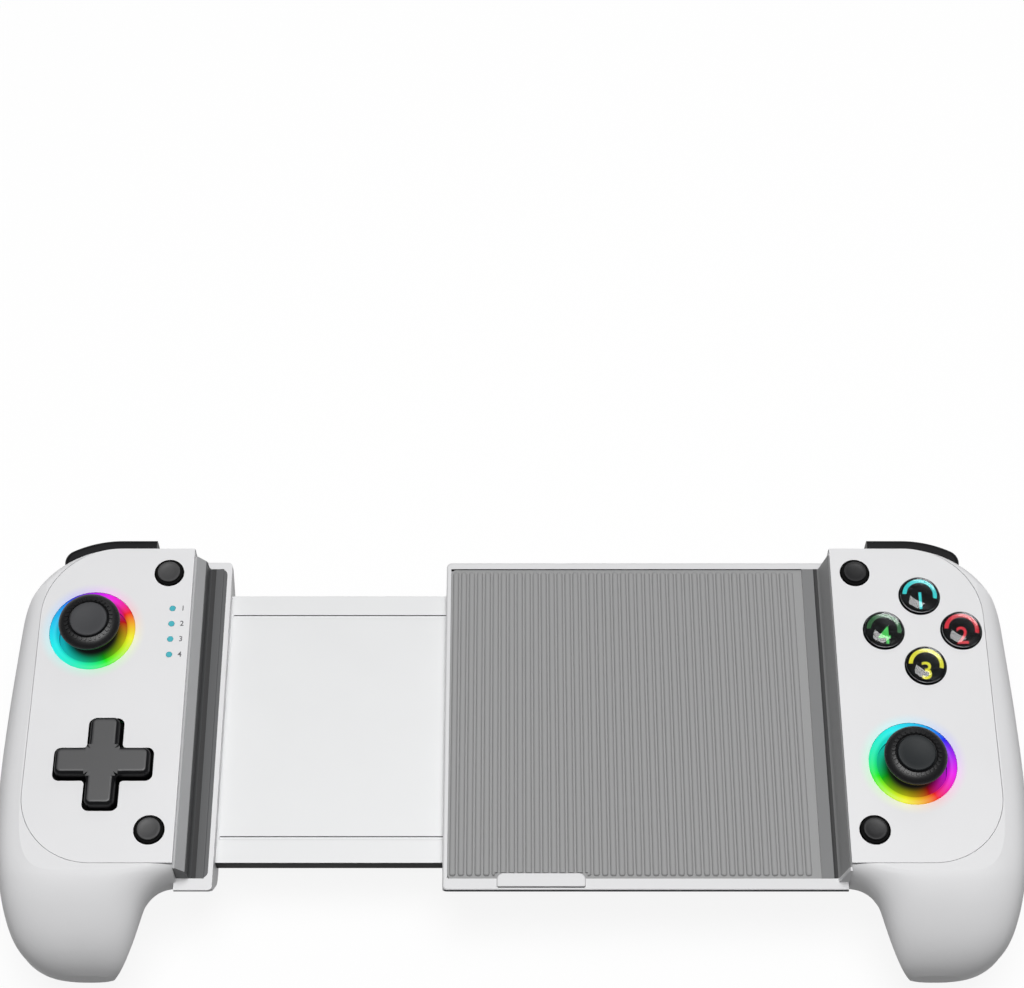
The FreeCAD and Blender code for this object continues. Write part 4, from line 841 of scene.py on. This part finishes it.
def disc_cutter(centre, radius):
    """Return an upright cylinder through the plate."""
    bpy.ops.mesh.primitive_cylinder_add(vertices=CUTTER_STEPS, radius=radius * MM,
                                        depth=CUTTER_DEPTH * MM,
                                        location=(centre.x, centre.y, FACE_Z))
    bpy.ops.object.transform_apply(location=True)
    return bpy.context.object


def plate_blank(side):
    """Return the plate with its rounded corners, before any opening."""
    low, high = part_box(side + "_faceplate")
    plate = block_form(Vector((low.x, low.y, FACE_Z - PLATE_THICKNESS * MM)), high)
    outer_x = high.x if side == "right" else low.x
    begin_edit(plate)
    for end, radius in PLATE_ROUNDS.items():
        pick("EDGE", lambda edge: abs(middle(edge).x - outer_x) < 0.1 * MM
             and (middle(edge).y - MIDDLE_Y) * end > CORNERS_BEYOND * MM
             and abs(edge.verts[0].co.z - edge.verts[1].co.z) > MM)
        bpy.ops.mesh.bevel(offset=radius * MM, segments=CORNER_SEGMENTS, affect="EDGES")
    end_edit()
    return plate


for side in SIDES:
    plate = plate_blank(side)
    plate.data.materials.append(FACE_WHITE[side])
    cutters = [disc_cutter(centre_of(side + "_light_ring"), RING_RADIUS + RING_GAP)]
    cutters += [disc_cutter(centre_of(node), radius + KEY_GAP)
                for node, radius in HOLES[side].items()]
    if side == "left":
        cutters.append(plus_form(DPAD_CENTRE, DPAD_SPAN + 2 * DPAD_END_GAP,
                                 DPAD_ARM + 2 * DPAD_GAP, DPAD_CORNER,
                                 FACE_Z - CUTTER_DEPTH * MM / 2, FACE_Z + CUTTER_DEPTH * MM / 2))
        lamp_low, lamp_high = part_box("player_lamps")
        lamp_x = (lamp_low.x + lamp_high.x) / 2
        first = lamp_high.y - LAMP_MARGIN * MM
        pitch = (first - lamp_low.y - LAMP_MARGIN * MM) / (LAMP_COUNT - 1)
        cutters += [disc_cutter(Vector((lamp_x, first - step * pitch, 0)), LAMP_HOLE)
                    for step in range(LAMP_COUNT)]
    # The cutters hand painted shade to the walls they cut.
    for cutter in cutters:
        cutter.data.materials.append(GAP_PAINTED_SHADE)
    cut_away(plate, *cutters)
    soften(plate, PLATE_EDGE)
    settle(plate, side + "_plate", side + "_unit", "faceplate_white", FACE_WHITE[side],
           side + "_faceplate")

# %% [markdown]
# The phone lies on a rubber pad with soft ribs. A thin base fills the recess, one rib is shaped
# with a round top and round ends, and an array repeats it across the pad. Where the lift tab
# lies over the rim, the ribs are cut shorter.

# %% Ribbed pad
RIB_PITCH = 1.95
RIB_WIDTH = 1.5
RIB_HEIGHT = 0.5
RIB_ROOT = 0.9
RIB_END, RIB_MARGIN = 0.7, 0.45
RIB_END_ROUND, RIB_TOP_ROUND = 0.6, 0.5
PAD_CORNER = 1.3
TAB_START, TAB_LENGTH, TAB_GAP, TAB_CUT = 12.5, 20.4, 0.5, 1.5
pad_low, pad_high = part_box("tray_pad")


def round_uprights(piece, radius, segments, test):
    """Round the upright edges that pass a test."""
    begin_edit(piece)
    pick("EDGE", lambda edge: test(middle(edge)) and
         (edge.verts[0].co.xy - edge.verts[1].co.xy).length < 0.001 * MM)
    bpy.ops.mesh.bevel(offset=radius * MM, segments=segments, affect="EDGES")
    end_edit()


base = block_form(pad_low, Vector((pad_high.x, pad_high.y, pad_high.z - RIB_HEIGHT * MM)))
round_uprights(base, PAD_CORNER, 5, lambda at: at.x < pad_low.x + MM)
settle(base, "pad_base", "right_unit", "pad_rubber", PAD_GREY, "tray_pad")
rib_start = pad_low.x + RIB_MARGIN * MM
rib = block_form(
    Vector((rib_start, pad_low.y + RIB_END * MM, pad_high.z - RIB_ROOT * MM)),
    Vector((rib_start + RIB_WIDTH * MM, pad_high.y - RIB_END * MM, pad_high.z)))
round_uprights(rib, RIB_END_ROUND, 3, lambda at: True)
begin_edit(rib)
pick("EDGE", lambda edge: all(vertex.co.z > pad_high.z - NEAR for vertex in edge.verts))
bpy.ops.mesh.bevel(offset=RIB_TOP_ROUND * MM, segments=3, affect="EDGES")
end_edit()
rib_count = int((pad_high.x - rib_start) / (RIB_PITCH * MM))
use_modifier(rib, "ARRAY", count=rib_count, use_relative_offset=False, use_constant_offset=True,
             constant_offset_displace=(RIB_PITCH * MM, 0, 0))
tab_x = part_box("tray_front")[0].x + TAB_START * MM
cut_away(rib, block_form(
    Vector((tab_x - TAB_GAP * MM, pad_low.y - MM, pad_low.z)),
    Vector((tab_x + (TAB_LENGTH + TAB_GAP) * MM, pad_low.y + TAB_CUT * MM, pad_high.z + MM))))
settle(rib, "pad_ribs", "right_unit", "pad_rubber", PAD_GREY)
print("ribs", rib_count)

# %% [markdown]
# Beside each unit the rubber climbs the bay wall. Its section is drawn point by point, as a line
# that is extruded from vertex to vertex and closed, and then pulled along the bay. The sloping lip
# under the left plate's edge and the wall of the right bay are painted lighter as painted light,
# and the groove at the foot of both is painted darker as painted shade. A thin white web closes
# the near end of the right one.

# %% Rubber of the two bays
LEFT_SECTION = [(0, -8.7), (0, -1.0), (-0.45, -1.0), (-0.6, -0.85), (-2.5, -3.3), (-2.75, -3.9),
                (-2.9, -6.6), (-3.1, -7.3), (-3.45, -7.7), (-4.2, -7.7), (-4.55, -7.5),
                (-5.6, -7.5), (-5.8, -7.42), (-6.3, -7.42), (-6.5, -7.55), (-7.3, -7.55),
                (-7.3, -8.7)]
WEB_SECTION = [(0, -8.7), (0, -0.15), (-0.3, -0.15), (-0.6, -0.5), (-2.0, -6.9), (-2.3, -7.5),
               (-2.9, -7.75), (-2.9, -8.7)]
WEB_THICKNESS = 0.9
CHEEK_CORNER = 1.7
# Heights of the lip's painted light and of the groove's painted shade, in millimetres from the
# face.
LIP_LOWER, LIP_UPPER, GROOVE_TOP = -3.5, -0.9, -7.6
RIGHT_SECTION = [(0, -8.7), (0, -0.5), (-0.3, -0.5), (-0.5, -0.7), (-1.7, -6.4), (-1.9, -7.2),
                 (-2.2, -7.75), (-2.8, -7.75), (-3.2, -7.5), (-6.0, -7.5), (-6.0, -8.7)]


def drawn_bar(side, section, y0, y1):
    """Return a bar with a section given as (x, z) in millimetres, pulled from y0 to y1."""
    places = [unit_point(side, x, z) for x, z in section]
    bpy.ops.mesh.primitive_plane_add(size=MM, location=(places[0].x, y0, places[0].z))
    bar = bpy.context.object
    bpy.ops.object.transform_apply(location=True)
    bpy.ops.object.mode_set(mode="EDIT")
    bpy.ops.mesh.select_mode(type="VERT")
    bpy.ops.mesh.select_all(action="SELECT")
    bpy.ops.mesh.merge(type="CENTER")
    for before, after in zip(places, places[1:]):
        bpy.ops.mesh.extrude_region_move(
            TRANSFORM_OT_translate={"value": (after.x - before.x, 0, after.z - before.z)})
    bpy.ops.mesh.select_all(action="SELECT")
    bpy.ops.mesh.edge_face_add()
    bpy.ops.mesh.extrude_region_move(TRANSFORM_OT_translate={"value": (0, y1 - y0, 0)})
    end_edit()
    return bar


for side, section, node in (("left", LEFT_SECTION, "cheek_pad"),
                            ("right", RIGHT_SECTION, "bay_pad")):
    low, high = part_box(node)
    bar = drawn_bar(side, section, low.y, high.y)
    if side == "left":
        round_uprights(bar, CHEEK_CORNER, 5, lambda at: at.x > high.x - 0.1 * MM)
    finish = CHEEK_GREY if side == "left" else BAY_GREY
    settle(bar, node.replace("pad", "rubber"), side + "_unit", SLOT_OF[node], finish, node)
    if side == "left":
        # The sloping lip is painted lighter, which is painted light.
        paint_faces(bar, LIP_PAINTED_LIGHT, lambda face: face.normal.z > 0.5
                    and LIP_LOWER * MM < face.center.z - FACE_Z < LIP_UPPER * MM)
    else:
        # The wall that faces the middle is painted lighter, which is painted light.
        paint_faces(bar, WALL_PAINTED_LIGHT, lambda face: face.normal.x < -0.8)
    # The groove at the foot gets painted shade.
    paint_faces(bar, GROOVE_GREY, lambda face: face.center.z < FACE_Z + GROOVE_TOP * MM
                and face.normal.z > 0.3)

low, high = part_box("bay_pad")
web = drawn_bar("right", WEB_SECTION, low.y - WEB_THICKNESS * MM, low.y)
settle(web, "bay_web", "right_unit", "shell_white", WHITE_SHELL)

# %% [markdown]
# The mouldings that stay as the frame gives them have knife-sharp edges. A merged copy of each
# gets its flat faces joined again and its edges rounded a little, and takes the node's place. The
# sides of the tray and the slide plate that face the player lie in shade, so they are darker.

# %% Soften the mouldings
SOFT_NODES = {"tray_front": 0.25, "tray_back": 0.3, "slide_plate": 0.25,
              "left_bumper": 0.3, "right_bumper": 0.3, "left_trigger": 0.3, "right_trigger": 0.3}
SHADED_SIDES = ("tray_front", "tray_back", "slide_plate")
COPY_WELD = 0.001 * MM


def softened(node, width):
    """Put a merged copy with rounded edges in a node's place."""
    source = frame["nodes"][node]
    piece = source.copy()
    piece.data = source.data.copy()
    bpy.context.collection.objects.link(piece)
    piece.parent = None
    piece.matrix_world = source.matrix_world.copy()
    begin_edit(piece)
    bpy.ops.mesh.select_all(action="SELECT")
    bpy.ops.mesh.remove_doubles(threshold=COPY_WELD)
    bpy.ops.mesh.dissolve_limited(angle_limit=FLAT_ANGLE)
    bpy.ops.object.mode_set(mode="OBJECT")
    soften(piece, width, segments=2, angle=30)
    return settle(piece, node + "_moulding", body_of(source)[0], SLOT_OF[node],
                  source.data.materials[0], node)


for node, width in SOFT_NODES.items():
    piece = softened(node, width)
    if node in SHADED_SIDES:
        paint_faces(piece, GROOVE_GREY, lambda face: face.normal.y < -0.8)

# %% [markdown]
# Small plain numerals stand beside the four lamps. Text is made a mesh before its place is
# applied, so that it sits in the mesh like every other piece.

# %% Numerals beside the lamps
NUMERAL_STEP = 2.5
for step in range(LAMP_COUNT):
    at = Vector((lamp_x + NUMERAL_STEP * MM, first - step * pitch, 0))
    mark = numeral(str(step + 1), at, **LAMP_NUMERAL)
    settle(mark, "lamp_numeral_" + str(step + 1), "left_unit", "faceplate_white", INK)

# %% [markdown]
# The stage is a plain floor under a large soft lamp from above, with a weak one from behind. The
# world fills the shadows. The lamps are kept at the level where white stays just under white, so
# the plate keeps its form. What the camera sees of the floor, also in a reflection, is mostly
# plain white, so that only a faint part of the shadow is left, as on a page of a catalogue. The
# floor lies a hair below the feet, which would otherwise share its plane.

# %% Floor, lamps and world
FLOOR_GREY = (0.12, 0.12, 0.12, 1)
WHITE = (1, 1, 1, 1)
FLOOR_WHITENESS = 0.9
FLOOR_SIZE = 6.0
FLOOR_DROP = 0.1 * MM
TOP_LAMP = {"place_at": (0.02, 0.03, 1.2), "size": 0.65, "power": 13.2}
BACK_LAMP = {"place_at": (0.2, 1.0, 0.7), "size": 0.5, "power": 0.8}
WORLD_LEVEL = 0.1


def floor_material():
    """Return a grey floor that the camera and reflections see as white with a faint shadow."""
    material, tree, shader = open_material("pale floor", FLOOR_GREY[:3], 0.9)
    path = place(tree, "ShaderNodeLightPath")
    tree.links.new(blend(tree, path.outputs["Is Camera Ray"], FLOOR_GREY, WHITE),
                   shader.inputs["Base Color"])
    seen = compute(tree, "MAXIMUM", path.outputs["Is Camera Ray"], path.outputs["Is Glossy Ray"])
    seen = compute(tree, "MAXIMUM", seen, path.outputs["Is Transmission Ray"])
    white = place(tree, "ShaderNodeEmission", inputs={"Strength": 1.0})
    mixed = place(tree, "ShaderNodeMixShader")
    tree.links.new(compute(tree, "MULTIPLY", seen, FLOOR_WHITENESS), mixed.inputs[0])
    tree.links.new(shader.outputs[0], mixed.inputs[1])
    tree.links.new(white.outputs[0], mixed.inputs[2])
    tree.links.new(mixed.outputs[0], tree.nodes["Material Output"].inputs["Surface"])
    return material


bpy.ops.mesh.primitive_plane_add(size=FLOOR_SIZE, location=(0, 0, -FLOOR_DROP))
floor = bpy.context.object
bpy.ops.object.transform_apply(location=True)
floor.name = "floor"
floor.data.materials.append(floor_material())


def soft_lamp(name, place_at, size, power):
    """Add a square area lamp that looks at the middle of the controller."""
    data = bpy.data.lights.new(name, "AREA")
    data.size = size
    data.energy = power
    lamp = bpy.data.objects.new(name, data)
    bpy.context.collection.objects.link(lamp)
    lamp.location = place_at
    lamp.rotation_euler = (-Vector(place_at)).to_track_quat("-Z", "Y").to_euler()


soft_lamp("top softbox", **TOP_LAMP)
soft_lamp("back strip", **BACK_LAMP)
world = bpy.data.worlds.new("studio")
bpy.context.scene.world = world
world.use_nodes = True
background = world.node_tree.nodes["Background"]
background.inputs["Color"].default_value = WHITE
background.inputs["Strength"].default_value = WORLD_LEVEL
bpy.context.scene.view_settings.view_transform = "Standard"
print("stage ready")

# %% [markdown]
# The camera looks down at the controller from the player's side. Its tilt, distance and lens were
# found by matching the edges of the faceplates and the tray with those in the photograph, where
# the object lies in the lower half of the frame too.

# %% Camera
VIEW_TILT = math.radians(29.6)
CAMERA_BACK = 235.575 * MM
CAMERA_HEIGHT = 512.7 * MM
FOCAL_PIXELS = 2392.0
IMAGE_WIDTH = 1024.0
SENSOR_WIDTH = 36.0
camera_data = bpy.data.cameras.new("camera")
camera_data.sensor_width = SENSOR_WIDTH
camera_data.lens = SENSOR_WIDTH * FOCAL_PIXELS / IMAGE_WIDTH
camera = bpy.data.objects.new("camera", camera_data)
bpy.context.collection.objects.link(camera)
camera.location = (0, MIDDLE_Y - CAMERA_BACK, FACE_Z + CAMERA_HEIGHT)
camera.rotation_euler = (VIEW_TILT, 0, 0)
bpy.context.scene.camera = camera
print("lens", round(camera_data.lens, 1))
